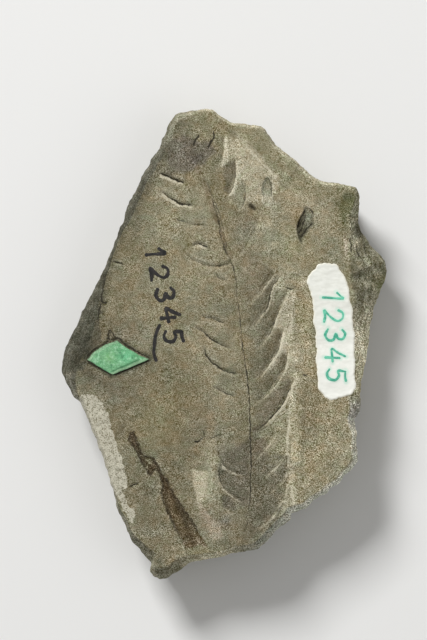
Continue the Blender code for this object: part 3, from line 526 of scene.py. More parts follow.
def wall(outer, inner, base, bevel_rows, wall_rows):
    """Terraces are a sine added to the run outwards; below, the cut is a sum of beds, lumps and chips."""
    width = np.hypot(*(outer - inner).T)
    edge_z = stone_height(inner[:, 0], inner[:, 1])
    drop = 1.1 + 0.8 * width
    layered = np.where(outer[:, 0] > 0.0, 1.0, 0.35) * smooth((width - 1.0) / 1.5)
    waves = np.maximum(1.5, width / 0.95)
    wander = 1.4 * rough(outer[:, 0], outer[:, 1], 0.0, 5.0, 11)
    rows = []
    for row in range(bevel_rows + 1):
        s = row / bevel_rows
        window = math.sin(math.pi * s)
        terrace = layered * window ** 0.5 * 0.85 * np.sin(2.0 * math.pi * waves * s + wander)
        out = np.clip(s ** 0.85 + terrace / (2.0 * math.pi * waves), 0.0, 1.0)
        place = inner + (outer - inner) * out[:, None]
        z = edge_z - drop * s ** 1.25
        chips = 0.4 * window * rough(place[:, 0], place[:, 1], z, 1.7, 12)
        fine = 0.12 * window * rough(place[:, 0], place[:, 1], 2.0 * z, 0.6, 18)
        rows.append(np.column_stack((place, z + (chips + fine) * smooth(width / 1.5))))
    middle = outer.mean(axis=0)
    inward = (middle - outer) / np.hypot(*(middle - outer).T)[:, None]
    for row in range(1, wall_rows + 1):
        q = row / wall_rows
        z = (edge_z - drop) * (1.0 - q)
        place = outer + (base - outer) * (0.55 * q + 0.45 * q ** 2.5)
        beds = 1.0 + rough(0.2 * place[:, 0], 0.2 * place[:, 1], z, 1.3, 14)
        thin_beds = rough(0.25 * place[:, 0], 0.25 * place[:, 1], z, 0.55, 19)
        lumps = 1.0 + rough(place[:, 0], place[:, 1], 1.5 * z, 3.4, 15)
        chips = 1.0 + rough(place[:, 0], place[:, 1], 1.5 * z, 1.4, 17)
        fine = rough(place[:, 0], place[:, 1], 1.5 * z, 0.6, 20)
        cut = 0.3 * beds + 0.4 * lumps + 0.14 * chips + 0.08 * thin_beds + 0.05 * fine
        cut = cut * smooth(q / 0.5) + 0.4 * smooth((q - 0.85) / 0.15)
        rows.append(np.column_stack((place + inward * cut[:, None], z)))
    return np.array(rows)


rows = wall(outer, inner, base, BEVEL_ROWS, WALL_ROWS)
print("wall of", rows.shape[0], "rows and", rows.shape[1], "places round")

# %% [markdown]
# ## One closed mesh
# Face, wall and underside share their edge loops, so the mesh is closed with no doubles to merge. Faces are
# index arrays: a quad joins a place, its neighbour, and the two below. The underside is the last loop drawn
# in towards one point.

# %% Join the face, the wall and the underside
def quads(indices):
    """Quads of a grid of vertex indices, each from a cell's four corners."""
    corners = (indices[:-1, :-1], indices[1:, :-1], indices[1:, 1:], indices[:-1, 1:])
    return np.stack([corner.ravel() for corner in corners], axis=1)


def mesh_object(name, places, faces):
    """A mesh object at the origin, smooth shaded, from millimetre places and rows of face indices."""
    mesh = bpy.data.meshes.new(name)
    shifted = (np.asarray(places, dtype=float) - np.array((MIDDLE[0], MIDDLE[1], 0.0))) * MM
    mesh.from_pydata(shifted.tolist(), [], [row for block in faces for row in block.tolist()])
    mesh.polygons.foreach_set("use_smooth", np.ones(len(mesh.polygons), dtype=bool))
    mesh.update()
    made = bpy.data.objects.new(name, mesh)
    bpy.context.scene.collection.objects.link(made)
    print(name, "has", len(mesh.vertices), "vertices and", len(mesh.polygons), "faces")
    return made


def slab_mesh():
    """Places and faces of the whole slab, how far each place is on the broken side, and its share of the way:
    0 to 1 out over the bevel, 1 to 2 down the wall. The rings run clockwise, so the wall's quads are turned
    over to face outwards."""
    heights = stone_height(face[..., 0], face[..., 1])
    top = np.concatenate((face, heights[..., None]), axis=2).reshape(-1, 3)
    grid = np.arange(len(top)).reshape(ALONG + 1, ACROSS + 1)
    loop = np.concatenate((grid[0, :-1], grid[:-1, -1], grid[-1, :0:-1], grid[:0:-1, 0]))
    around = len(loop)
    rings = [loop] + [len(top) + around * row + np.arange(around) for row in range(len(rows) - 1)]
    floor_start = len(top) + around * (len(rows) - 1)
    shrinks = (0.75, 0.4)
    centre = rows[-1].mean(axis=0)
    floor = [centre + (rows[-1] - centre) * shrink for shrink in shrinks]
    rings += [floor_start + around * step + np.arange(around) for step in range(len(shrinks))]
    places = np.vstack([top, rows[1:].reshape(-1, 3)] + floor + [centre[None]])
    hub = np.full(around, len(places) - 1)
    indices = np.array(rings)
    indices = np.hstack((indices, indices[:, :1]))
    last = indices[-1]
    fan = np.stack((last[:-1], last[1:], hub), axis=1)
    side = np.zeros(len(places))
    edge_rows = smooth(np.arange(len(rows)) / 2.0)
    side[loop] = edge_rows[0]
    side[len(top):floor_start] = np.repeat(edge_rows[1:], around)
    side[floor_start:] = 1.0
    steps = np.arange(1, len(rows))
    down = np.minimum(steps / BEVEL_ROWS, 1.0) + np.maximum(steps - BEVEL_ROWS, 0) / WALL_ROWS
    share = np.full(len(places), 2.0)
    share[:len(top)] = 0.0
    share[len(top):floor_start] = np.repeat(down, around)
    return places, (quads(grid), quads(indices)[:, ::-1], fan), side, share


slab_places, slab_faces, slab_side, slab_share = slab_mesh()
slab = mesh_object("shale_slab", slab_places, slab_faces)

# %% [markdown]
# ## Colouring in code
# The stone isn't one grey: the face is tan, the carbon left by the leaf is darker, fresh breaks are pale,
# and the left bevel is nearly black. A painter would airbrush soft clouds first and then smaller strokes.
# The same is done here on the vertices: a base colour, then soft clouds, then patches with ragged outlines,
# then the painted shade and light of each lobe. Colours are written as they look on screen, 0 to 255.

# %% Clouds and patches of colour
STONE = (131, 125, 101)
CLOUDS = (
    (-10, 18.6, 4.8, 7.7, 0, 0.6, (134, 127, 103)),
    (-6, 21.5, 4.5, 5, 0, 0.65, (149, 141, 115)),
    (-4.5, 1, 4, 7.5, 0, 0.5, (141, 134, 110)),
    (-2, -7, 3, 3.5, 0, 0.5, (144, 137, 114)),
    (11.8, 25.8, 2.5, 2, 0, 0.6, (165, 155, 129)),
    (2, 17.5, 1.9, 6.5, 0, 0.7, (115, 110, 89)),
    (-3.5, 38.2, 4.1, 2.1, 0, 0.7, (134, 126, 100)),
    (-8.1, 37.9, 2.4, 2.4, 0, 0.8, (100, 97, 81)),
    (-7.8, 32.2, 3.4, 3.1, 0, 0.6, (108, 102, 86)),
    (-12.6, -14.8, 12, 12.8, 20, 0.75, (118, 112, 92)),
    (-12.6, -31.9, 7.7, 8.6, 0, 0.7, (118, 112, 92)),
    (-16.5, 9, 4.5, 14, -22, 0.7, (121, 114, 92)),
    (-19, -4.5, 6, 4.5, 0, 0.7, (112, 106, 86)),
    (-11.6, -14, 4.3, 4, 0, 0.7, (145, 136, 106)),
    (-19, -7.5, 5, 2.6, -10, 0.7, (106, 100, 82)),
    (-17.5, 1.8, 4.5, 2.4, 0, 0.7, (104, 98, 80)),
    (-3.6, -29.8, 1.6, 2.4, 0, 0.6, (150, 142, 122)),
    (-9.2, -11.4, 4.8, 5.5, 0, 0.5, (130, 123, 94)),
    (-3.2, -13.9, 3.8, 4.1, 0, 0.5, (134, 123, 103)),
    (-0.9, 7.4, 4.8, 10.3, 0, 0.45, (129, 122, 100)),
    (0.8, -9.7, 3.8, 10.3, 0, 0.5, (124, 119, 96)),
    (9, 21, 4, 6.2, 0, 0.65, (149, 143, 120)),
    (19.8, 19.6, 1.4, 1.8, 0, 0.8, (110, 105, 81)),
    (16.5, 20.3, 5.1, 5.1, 0, 0.7, (144, 135, 111)),
    (11.4, 17, 2.4, 2.4, 0, 0.5, (152, 147, 112)),
    (13.1, 4, 1.7, 10.3, 0, 0.6, (146, 138, 112)),
    (16.8, -16.5, 5.8, 8.2, 0, 0.8, (148, 139, 113)),
    (14.3, 2.3, 1.8, 11, 0, 0.7, (156, 147, 120)),
    (13, -21.5, 2.6, 3.5, 0, 0.6, (152, 144, 118)),
    (16.5, 23, 3, 2, -20, 0.6, (154, 145, 121)),
    (6.6, 0.6, 3.8, 13.7, -12, 0.5, (122, 117, 97)),
    (14.1, -13.1, 2.1, 2.2, 0, 0.5, (122, 115, 95)),
    (-3.5, -36, 3, 1.3, 0, 0.8, (135, 128, 97)),
    (4, -33, 5, 1.8, 22, 0.8, (97, 94, 77)),
    (6.5, -29.6, 3, 2.8, 0, 0.65, (99, 95, 80)),
    (9, -19.9, 1.6, 2, 0, 0.6, (142, 139, 117)),
    (-2.6, -17.3, 1.4, 2.4, 0, 0.6, (154, 146, 121)),
    (21.5, 23.3, 2.1, 3.1, 0, 0.9, (104, 105, 78)),
    (4, 20.6, 1.9, 2.1, 0, 0.6, (118, 114, 98)),
    (4.9, 12.6, 1.7, 3.8, 0, 0.5, (126, 118, 102)),
    (0.3, -30.2, 3.1, 2.4, 0, 0.5, (122, 118, 104)))
PATCHES = (
    (0.9, 0.75, (99, 93, 83),
     ((-9.5, 34.8), (-7.1, 35.8), (-4.2, 34.5), (-2, 34.8), (-1.6, 32.8), (-3.3, 30.9), (-4.7, 30),
      (-6.8, 29.3), (-9.5, 30), (-10.3, 32.1))),
    (0.8, 0.7, (136, 130, 104),
     ((1.3, 37.5), (6.6, 37), (9.7, 33.1), (13.9, 29.5), (18.2, 27.3), (20.8, 26.6), (19.9, 24.5),
      (16.2, 25.2), (11.7, 26.6), (9.7, 28.3), (7.3, 31.4), (4.5, 34), (2.5, 35.8))),
    (0.8, 0.8, (160, 153, 130), ((0.8, 35.3), (2.8, 35.3), (4, 34.3), (2.8, 31.7), (0.9, 31.7))),
    (0.7, 0.85, (171, 164, 141),
     ((2.1, 36), (4, 34.3), (5.4, 33.3), (6.6, 31.9), (7.8, 30.4), (8.6, 29.2), (9.7, 28), (9, 26.8),
      (7.6, 29), (6.6, 28.1), (6.6, 24.2), (4, 24.2), (3.8, 28), (2.8, 28), (2.7, 31.7), (2.5, 34))),
    (0.25, 0.8, (192, 186, 165),
     ((0.1, 35.5), (0.6, 35.5), (0.8, 33.1), (0.9, 31.4), (0.4, 30.4), (-0.4, 30.4), (-0.3, 31.6),
      (0, 33.1))),
    (0.5, 0.75, (114, 108, 90),
     ((0.1, 30.4), (0.9, 31.2), (1.9, 31.3), (1.8, 28.7), (1.2, 27.3), (0.7, 25.6), (0.2, 26.3), (0, 28),
      (-0.2, 29.7))),
    (0.4, 0.6, (90, 84, 66), ((0, 28), (0.8, 27.8), (0.9, 26.6), (0.5, 25.4), (0.2, 26.3))),
    (0.5, 0.7, (172, 167, 145),
     ((2.1, 31.5), (2.9, 31.5), (2.8, 28), (1.7, 26), (0.9, 24.6), (0.5, 25), (1.4, 26.6), (2, 28.3))),
    (0.6, 0.8, (136, 134, 112),
     ((2.3, 27.6), (3.4, 27.6), (3.4, 23.9), (2.5, 23), (1.6, 24.2), (1.8, 26.1))),
    (0.8, 0.6, (142, 142, 118), ((9, 29.7), (11.4, 28.8), (11, 26.3), (9.7, 26.3))),
    (0.7, 0.8, (173, 170, 151), ((6.6, 26.1), (8.3, 26.1), (8.6, 23.5), (6.6, 23.5), (6.2, 24.9))),
    (0.4, 0.3, (126, 128, 112), ((6.8, 28), (7.8, 28.3), (8.1, 26.3), (7.6, 25.9), (6.8, 26.6))),
    (0.3, 0.8, (182, 176, 155), ((8.1, 28.7), (8.8, 28), (8.8, 25.7), (8.3, 26.3))),
    (0.6, 0.6, (150, 145, 124),
     ((7.6, 12.9), (10.3, 13.3), (11.2, 11.7), (10.3, 10.2), (9, 10.2), (8, 8.1), (7.6, 6.8), (7.1, 5.4),
      (6.6, 4), (6.1, 3.7), (7.3, 7.4), (8, 9.5), (9, 11.5))),
    (0.7, 0.8, (158, 156, 132),
     ((8.3, 10), (9, 11.4), (10.3, 11.7), (10.5, 9.5), (10.3, 8.1), (9.8, 6.9), (9.2, 6.4), (8.6, 6.9),
      (8.1, 8))),
    (0.6, 0.85, (171, 165, 143),
     ((11.1, 9.3), (11.9, 8.6), (12.4, 5.7), (12.3, 2.4), (10.2, 2.8), (8.6, 2.7), (9, 4), (9.5, 5.4),
      (10.3, 7.2))),
    (0.6, 0.85, (196, 189, 168),
     ((10.4, 2.8), (11.7, 3), (11.6, -0.2), (10.8, -1.4), (9.6, -1.6), (8.3, -3.8), (7.4, -4.6),
      (9, -1.4), (9.6, 0.6))),
    (0.4, 0.8, (180, 172, 148), ((11.4, 9.2), (12.5, 9.2), (12.6, 7.3), (11.5, 7.3))),
    (0.7, 0.7, (150, 143, 120),
     ((12.1, 1.5), (13.1, 0.9), (13.8, -1.1), (13.6, -5.4), (12.4, -6.2), (11.7, -3.7))),
    (0.8, 0.8, (166, 159, 134),
     ((11, 1.5), (11.8, 0.6), (12.6, -0.3), (12.7, -3.5), (11, -3.5), (10.9, -1.5))),
    (0.8, 0.6, (150, 142, 112), ((12.4, 7.4), (15, 7.4), (15, 2.7), (12.6, 2.7))),
    (0.5, 0.7, (132, 124, 106),
     ((9.7, -6.1), (11.5, -6.1), (11, -7.8), (10.2, -9.3), (9.2, -11), (7.6, -12.2), (6.2, -13.1),
      (5.2, -12.7), (6.6, -10), (8.3, -8))),
    (0.4, 0.35, (88, 92, 74), ((10.2, -8.3), (10.9, -8), (10.2, -9.8), (9.5, -10))),
    (0.7, 0.85, (151, 149, 125),
     ((6.6, -13.3), (8.6, -11.7), (10.3, -11.7), (10.5, -14.8), (8, -16.5), (6.6, -15.1))),
    (0.6, 0.75, (167, 160, 133),
     ((11.2, -9.3), (12.2, -9), (13.1, -10.5), (13.1, -19.9), (11.7, -20.3), (11.2, -16.5))),
    (0.6, 0.7, (166, 158, 134), ((10.4, -21), (11.9, -20.6), (11.9, -23.3), (10.4, -23.3))),
    (0.6, 0.7, (152, 149, 126),
     ((11.9, -6.9), (11.4, -8.6), (10.3, -10.9), (9.8, -13.1), (11.4, -13.8), (11.7, -11.4), (12.4, -9.3),
      (12.7, -7.4))),
    (1.3, 0.8, (102, 98, 82),
     ((4.5, -14.5), (6.6, -14.1), (5.9, -16.2), (7.6, -18.2), (11, -19.2), (11.4, -21.3), (10.3, -23.7),
      (9.5, -26.8), (8.3, -28.8), (6.6, -30.5), (4.9, -32.2), (4, -31.9), (4.5, -26.8))),
    (1.3, 0.8, (93, 88, 75),
     ((-0.6, -18.6), (1.8, -17.6), (4.5, -15.8), (4.5, -27.3), (2.8, -27.8), (0.8, -25.7), (-0.6, -24),
      (-1.1, -21))),
    (0.5, 0.7, (90, 85, 70), ((-0.3, -25.9), (1.3, -26.3), (1.5, -27.8), (-0.1, -28))),
    (0.8, 0.8, (139, 135, 110),
     ((6.6, -15.1), (8, -13.8), (10, -11.7), (11, -13.1), (10.9, -16.5), (10.7, -18.6), (8, -19.2),
      (6.6, -17.5))),
    (0.6, 0.7, (108, 98, 80), ((4.7, -16.5), (6.8, -16.2), (8.1, -17.3), (5.8, -19.6), (4.7, -21.6))),
    (0.5, 0.4, (95, 90, 72), ((9.8, -19.8), (11, -19.9), (10.9, -21.3), (10.2, -22.8), (9.7, -21.6))),
    (0.5, 0.8, (182, 172, 144), ((11.3, -16.5), (12.4, -16.5), (12.4, -19.6), (11.4, -19.8))),
    (0.6, 0.8, (150, 145, 122),
     ((11.4, -23.3), (10.3, -25.1), (9.5, -26.8), (9.2, -28.5), (11.2, -28.8), (12.7, -28.1),
      (12.6, -25.1), (12.1, -23.3))),
    (0.6, 0.7, (152, 150, 128),
     ((-3.2, -17.4), (-1.6, -17), (-0.8, -19.1), (-0.6, -21.6), (-0.8, -24.2), (-0.8, -26.3), (-2, -27.3),
      (-2.7, -26.8), (-2.5, -23.3), (-2.7, -21.5), (-3.3, -21))),
    (0.6, 0.7, (164, 161, 137),
     ((-5, -21.7), (-1.7, -21.6), (-1.7, -23.5), (-1.9, -25.4), (-2.6, -26.6), (-4.2, -27),
      (-4.7, -25.4))),
    (0.3, 0.9, (178, 170, 147),
     ((-5.6, -21.4), (-3, -21.5), (-2.9, -23.3), (-2.9, -25.4), (-3.4, -26.6), (-4.3, -27.2),
      (-4.9, -25.4), (-5.4, -23.3))),
    (0.4, 0.85, (82, 78, 64),
     ((-19.9, 14.3), (-20.5, 10.8), (-21.2, 7), (-21.4, 2.8), (-20.9, 0.5), (-22, -0.8), (-23.5, -2.1),
      (-25.6, -1.5), (-25.6, 2), (-23.5, 7.5), (-21.5, 12.5))),
    (0.7, 0.7, (100, 100, 70),
     ((19.9, 24.9), (20.4, 25.7), (21.8, 25.9), (22.7, 24.5), (22.8, 22), (22.5, 20.1), (20.8, 20.1),
      (20.1, 22))),
    (0.4, 0.5, (78, 78, 58), ((20.1, 24.2), (20.6, 25.7), (21.9, 25.9), (21.7, 24.9), (20.6, 24.6))),
    (0.3, 0.8, (172, 162, 143),
     ((20.3, 19.4), (21.5, 18.7), (21.4, 16.7), (21.2, 14.6), (20.4, 15), (20.4, 17.2))),
    (0.3, 0.8, (184, 177, 155), ((21.9, 17.7), (22.6, 17.2), (22.6, 15.1), (22.8, 14.3), (22, 14.5))),
    (0.6, 0.75, (86, 82, 64), ((21.6, 13.9), (22.9, 13.9), (23, 9.2), (22, 9.2))))
# small places lighter or darker than what lies about them, in the form of the clouds
SPOTS = (
    (-1, 31.3, 0.65, 1.8, -15, 0.85, (102, 97, 77)),
    (2.9, 34, 1.1, 1.9, -30, 0.7, (188, 181, 156)),
    (-9.3, 29.4, 1.3, 0.9, -20, 0.7, (90, 84, 70)),
    (-11, 25.6, 0.7, 1.4, 0, 0.6, (168, 160, 140)),
    (-13, 26.6, 0.8, 1.4, -22, 0.7, (92, 88, 70)),
    (-10, 20.4, 1.6, 2.2, 0, 0.5, (158, 149, 121)),
    (-15, 19.6, 0.9, 2.4, -22, 0.7, (92, 88, 70)),
    (10.8, 26.8, 1.2, 0.9, -20, 0.6, (168, 162, 136)),
    (1.1, 24.7, 0.8, 0.8, 0, 0.8, (162, 155, 130)),
    (7.5, 26, 0.5, 1, 0, 0.8, (164, 163, 142)),
    (7.4, 21, 1, 2.2, 0, 0.7, (168, 163, 140)),
    (11, 13.1, 1, 1, 0, 0.6, (172, 164, 138)),
    (13.4, 10.7, 0.6, 1.2, 0, 0.7, (184, 176, 154)),
    (15, 23.2, 0.9, 0.7, 0, 0.7, (162, 153, 128)),
    (21.5, 21, 0.9, 1.2, 0, 0.85, (76, 78, 54)),
    (20.6, 19.3, 0.9, 0.9, 0, 0.7, (106, 102, 78)),
    (3, 15.8, 0.6, 1, -20, 0.8, (104, 99, 80)),
    # a painted shadow just right of the white strip
    (-17.3, -14.4, 0.7, 1.8, -20, 0.7, (98, 93, 74)),
    (-12.7, -16.7, 1.2, 1.2, 0, 0.6, (145, 141, 114)),
    (0.8, -17.6, 1.8, 0.8, 15, 0.7, (136, 131, 116)),
    (6.8, -14.5, 0.9, 0.8, 0, 0.7, (142, 138, 117)),
    (-2.3, -18.6, 0.7, 1.2, 0, 0.6, (166, 158, 135)),
    (-0.5, -21.6, 0.7, 1.3, 0, 0.85, (72, 71, 56)),
    (-6.8, -11.2, 1.2, 1.2, 0, 0.6, (102, 95, 72)),
    (5.9, -18.8, 0.9, 0.8, 0, 0.6, (92, 86, 70)),
    (8.6, -19.9, 1, 0.8, 0, 0.8, (146, 145, 124)),
    (11.4, -22.8, 0.6, 2, 0, 0.6, (182, 172, 148)),
    (-2.8, -30.4, 0.8, 0.9, 0, 0.6, (168, 158, 141)),
    (0.1, -30.2, 1, 0.9, 0, 0.7, (100, 98, 90)),
    (9.3, -28.5, 0.9, 0.8, 30, 0.7, (156, 152, 133)),
    # a painted shadow below the paper diamond's lower left edge
    (-23, -5, 2.6, 0.9, -25, 0.75, (86, 81, 65)),
    (-13.2, -25.7, 1.8, 0.9, 0, 0.6, (96, 91, 73)),
    (8.3, -30.4, 1, 0.6, 35, 0.6, (96, 92, 78)),
    (-11.2, -37.3, 1, 0.9, 0, 0.7, (84, 82, 64)))
# softness, strength, colour, half widths at the points, and the line of each brush stroke
STROKES = (
    (0.5, 0.75, (168, 156, 138), (0.4, 0.5, 0.9, 1.2),
     ((-4.6, -27.3), (-3.3, -29), (-2.2, -30.6), (-1.4, -32.2))),
    # a soft dark ring round the paper diamond: the paper's painted contact shadow on the stone
    (0.7, 0.9, (60, 60, 45), (0.4, 0.35, 0.4, 0.4, 0.4, 0.3, 0.35, 0.35, 0.4),
     ((-23.5, -2.7), (-21.3, -4.1), (-19, -5.4), (-15.9, -4.1), (-12.7, -2.6), (-15.5, -0.9),
      (-18.3, 0.7), (-21.2, -0.5), (-23.5, -2.7))),
    (0.5, 0.6, (84, 82, 66), (0.3, 0.5, 0.6, 0.6, 0.5, 0.3),
     ((-11, 3.2), (-11.6, 2), (-11.9, 0.4), (-12, -1.1), (-12, -2.1), (-11.6, -2.9))),
    (0.4, 0.55, (178, 172, 146), (0.3, 0.25, 0.2, 0.25),
     ((11.5, -0.2), (11.5, -4.9), (11.6, -8.3), (11.5, -12.2))),
    (0.6, 0.3, (172, 166, 142), (0.3, 0.3, 0.35, 0.4, 0.4, 0.3),
     ((11.5, -12.2), (11.2, -16.8), (11.5, -21.3), (11.7, -23.3), (12.1, -25.4), (12.2, -27.6))),
    (0.3, 0.5, (208, 200, 178), (0.12, 0.2, 0.15), ((11.8, -24.6), (12, -26.1), (12.2, -27.8))),
    (0.4, 0.8, (72, 65, 50), (0.3, 0.5, 0.3), ((5.2, -14.6), (6.2, -14.1), (6.9, -13.4))),
    (0.4, 0.5, (112, 98, 78), (0.45, 0.4, 0.45, 0.35, 0.3),
     ((-4.5, 30), (-2.9, 26.3), (-1.5, 22.2), (-0.3, 18.4), (1.1, 14.6))),
    (0.25, 0.55, (84, 73, 50), (0.35, 0.5, 0.3), ((-1.7, 22.2), (-1.3, 21.4), (-0.8, 20.6))),
    (0.3, 0.4, (104, 100, 82), (0.4, 0.5, 0.3), ((4.3, 23.9), (4.9, 23.3), (5.5, 23.4))),
    (0.2, 0.8, (62, 58, 46), (0.2, 0.26, 0.16), ((4.8, 23.4), (5.1, 23.1), (5.2, 22.9))),
    (0.3, 0.7, (100, 102, 88), (0.1, 0.2, 0.2, 0.1), ((8, 28.6), (7, 28.1), (6.6, 26.5), (6.6, 25.3))),
    (0.3, 0.6, (112, 114, 98), (0.12, 0.22, 0.12), ((7.9, 28.3), (8.1, 27.2), (7.9, 26.3))),
    (0.5, 0.6, (186, 184, 162), (0.3, 0.4, 0.4, 0.25), ((1.2, 24.9), (2, 26.8), (2.5, 28.7), (2.5, 31))),
    (0.8, 0.6, (166, 160, 137), (0.15, 0.4, 0.9, 1.1),
     ((7.3, -8.7), (8.4, -7.6), (9.8, -6.1), (11, -5.1))),
    (0.5, 0.8, (186, 178, 155), (0.5, 0.42, 0.3, 0.12),
     ((12.6, -5.3), (12.1, -6.9), (11.4, -8.6), (10.3, -10.2))),
    (0.6, 0.6, (156, 149, 125), (0.6, 0.8, 0.8, 0.6),
     ((-2.1, -17), (-1.8, -18.8), (-1.7, -20.4), (-1.7, -21.6))),
    (0.4, 0.6, (82, 78, 72), (0.4, 0.7, 0.5), ((-5.8, 31.9), (-4.9, 31.5), (-3.8, 32.1))),
    (0.5, 0.65, (88, 84, 73), (0.6, 0.9, 0.6), ((0.3, -26.4), (1, -27.4), (1.6, -28))))
STEM_MARK = (
    (-16.2, -15.3), (-15.5, -15.1), (-15, -16.2), (-14.7, -17.2), (-14.3, -18.2), (-13.8, -19.1),
    (-13.1, -19.3), (-12.1, -19.5), (-11.3, -20.9), (-10.5, -22.3), (-9.7, -23.2), (-9.3, -24.4),
    (-8.6, -25.5), (-7.8, -26.7), (-6.9, -28.2), (-5.7, -29.9), (-4.6, -31.8), (-3.6, -33.3), (-3, -34.6),
    (-4.4, -34.4), (-6.6, -35), (-7.4, -33.4), (-8.5, -31.2), (-9.4, -29.3), (-9.9, -27.8),
    (-10.4, -26.8), (-10.7, -25.4), (-10.4, -24), (-11, -22.4), (-11.5, -21.3), (-12.1, -21.7),
    (-12.4, -22.3), (-12.8, -22.4), (-13.1, -21.9), (-13.6, -21), (-14.3, -19.8), (-14.8, -18.7),
    (-15.5, -17.5), (-16.3, -16.3))
# across, along, how wide, how tall, and how strong the speckle is there, 1 being usual
SPECKLE = (
    (16, -14, 6.5, 12, 1.7), (13.5, 4, 2.5, 8, 1.4), (21.5, 21.5, 2.5, 4.5, 1.8), (5, -24, 6, 8, 1.6),
    (-6, 33, 5, 3.5, 1.6), (-14, -33, 4.5, 3.5, 1.35), (-3.5, 23, 2.5, 4, 0.6), (-10, -16, 3, 3, 0.6),
    (1.2, -1, 2, 5, 0.75), (9.9, 0.5, 1.6, 4.5, 0.5), (6, 33, 3.5, 3, 0.6), (-4, -24, 1.5, 3, 0.65),
    (-11, -24, 4, 5, 1.5), (-5.5, -34, 8, 2.5, 1.4), (12.3, -1.2, 1, 2, 0.7))
# the wood from its upper end to its lower end
STEM_COLOURS = ((56, 44, 27), (72, 62, 43), (82, 70, 49), (84, 71, 47), (93, 82, 62))
print(len(CLOUDS), "clouds,", len(PATCHES), "patches,", len(STROKES), "strokes")

# %% [markdown]
# ## The colour of the broken side
# Round the side the colour only changes slowly, from near black at the left to cream at the right. Where the
# side turns away from the lamp it is painted paler, a painted light that lifts the shade it falls in. A blend
# of named places does it: the nearer a place lies, the more its colour counts.

# %% The shade of the broken side
# across, along, reach, and the colour the side has near there
SIDE_CLOUDS = (
    (-26, 0, 9, (62, 61, 49)), (-20, 14, 8, (68, 66, 53)), (-14, 28, 6, (70, 68, 56)),
    (-11, 34, 4, (80, 78, 64)), (-8, 38, 4, (128, 125, 106)), (0, 40, 5, (158, 152, 128)),
    (12, 32, 7, (156, 150, 126)), (22, 27, 4, (128, 125, 98)), (24, 18, 5, (124, 121, 98)),
    (27.4, 13, 4, (134, 132, 110)), (25.7, 12, 1.3, (176, 171, 146)), (23, 8.9, 1.7, (92, 89, 72)),
    (24.2, 15, 1.8, (86, 83, 65)), (25, 3.5, 2.5, (178, 173, 148)), (22.5, 12.3, 1.2, (84, 81, 64)),
    (22.1, 16.5, 1.1, (186, 179, 156)), (23.1, 0.7, 1, (220, 214, 190)),
    (22.7, 4.2, 0.9, (200, 195, 172)), (23.4, 19.4, 1.1, (70, 67, 56)),
    (-26.3, -6.7, 1.9, (112, 110, 98)), (-25.9, -4.4, 1, (58, 56, 44)), (-23.3, -0.6, 1.6, (44, 44, 34)),
    (-22.4, 3.7, 1.2, (52, 52, 40)), (27.4, 10.5, 1.5, (128, 128, 86)), (25.2, 7.2, 2.6, (158, 154, 131)),
    (24.2, 0, 3, (206, 201, 174)), (23.3, -7, 3, (176, 170, 140)), (23.2, -11.5, 2, (152, 150, 144)),
    (22.5, -18, 4, (190, 186, 166)), (15, -27, 5, (188, 186, 168)), (8, -33, 5, (126, 126, 112)),
    (-2, -37, 5, (172, 166, 140)), (-11, -39, 4, (118, 115, 95)), (-17, -31, 5, (108, 105, 88)),
    (-22, -15, 6, (132, 127, 108)))


def side_shade(x, y):
    """A blend of the side's colours, each weighted by a bell curve of the distance to its place."""
    total = np.zeros(np.shape(x) + (3,))
    weights = np.zeros(np.shape(x))
    for across, along, reach, colour in SIDE_CLOUDS:
        weight = np.exp(-((x - across) ** 2 + (y - along) ** 2) / reach ** 2) + 1e-9
        total += weight[..., None] * np.array(colour, dtype=float)
        weights += weight
    return total / weights[..., None]


print("side shade at the left:", np.round(side_shade(np.array([-26.0]), np.array([0.0]))[0]))

# %% [markdown]
# ## Layer over layer
# Each function takes a tint and lays one more colour over part of it, as in glazing. So the order matters:
# the stem covers the strokes, and the broken side covers all that reaches past the edge of the face.

# %% Paint the vertices
def over(tint, amount, colour):
    """Lay a colour over a tint by an amount from 0 to 1 at each place."""
    return tint + amount[..., None] * (np.array(colour, dtype=float) - tint)


def linear(colour):
    """Screen colour 0 to 255 as the linear light value that a shader takes."""
    value = np.asarray(colour, dtype=float) / 255.0
    return np.where(value <= 0.04045, value / 12.92, ((value + 0.055) / 1.055) ** 2.4)


def profile(along, values):
    """Values given evenly along a line, read at each place's share of the way along it."""
    return np.interp(along, np.linspace(0.0, 1.0, len(values)), values)


def bells(tint, x, y, table):
    """Soft clouds over a tint, each a bell curve of the distance to its middle, wide and tall as its row
    says, and turned by its angle."""
    for across, along, wide, tall, turn, strength, colour in table:
        angle = math.radians(turn)
        u = (x - across) * math.cos(angle) + (y - along) * math.sin(angle)
        v = (y - along) * math.cos(angle) - (x - across) * math.sin(angle)
        tint = over(tint, strength * np.exp(-((u / wide) ** 2 + (v / tall) ** 2)), colour)
    return tint


def clouds(x, y):
    """The base colour under the clouds, and a slow mottling from greener to pinker tan."""
    tint = np.broadcast_to(np.array(STONE, dtype=float), np.shape(x) + (3,)).copy()
    tint = bells(tint, x, y, CLOUDS)
    warmth = 0.6 * rough(x, y, 0.0, 3.1, 35) + 0.5 * rough(x, y, 0.0, 1.2, 36)
    value = rough(x, y, 0.0, 4.2, 37) + 0.7 * rough(x, y, 0.0, 1.6, 38) + 0.5 * rough(x, y, 0.0, 0.7, 39)
    return tint + warmth[..., None] * np.array((5.0, 0.0, -3.0)) + value[..., None] * 7.5


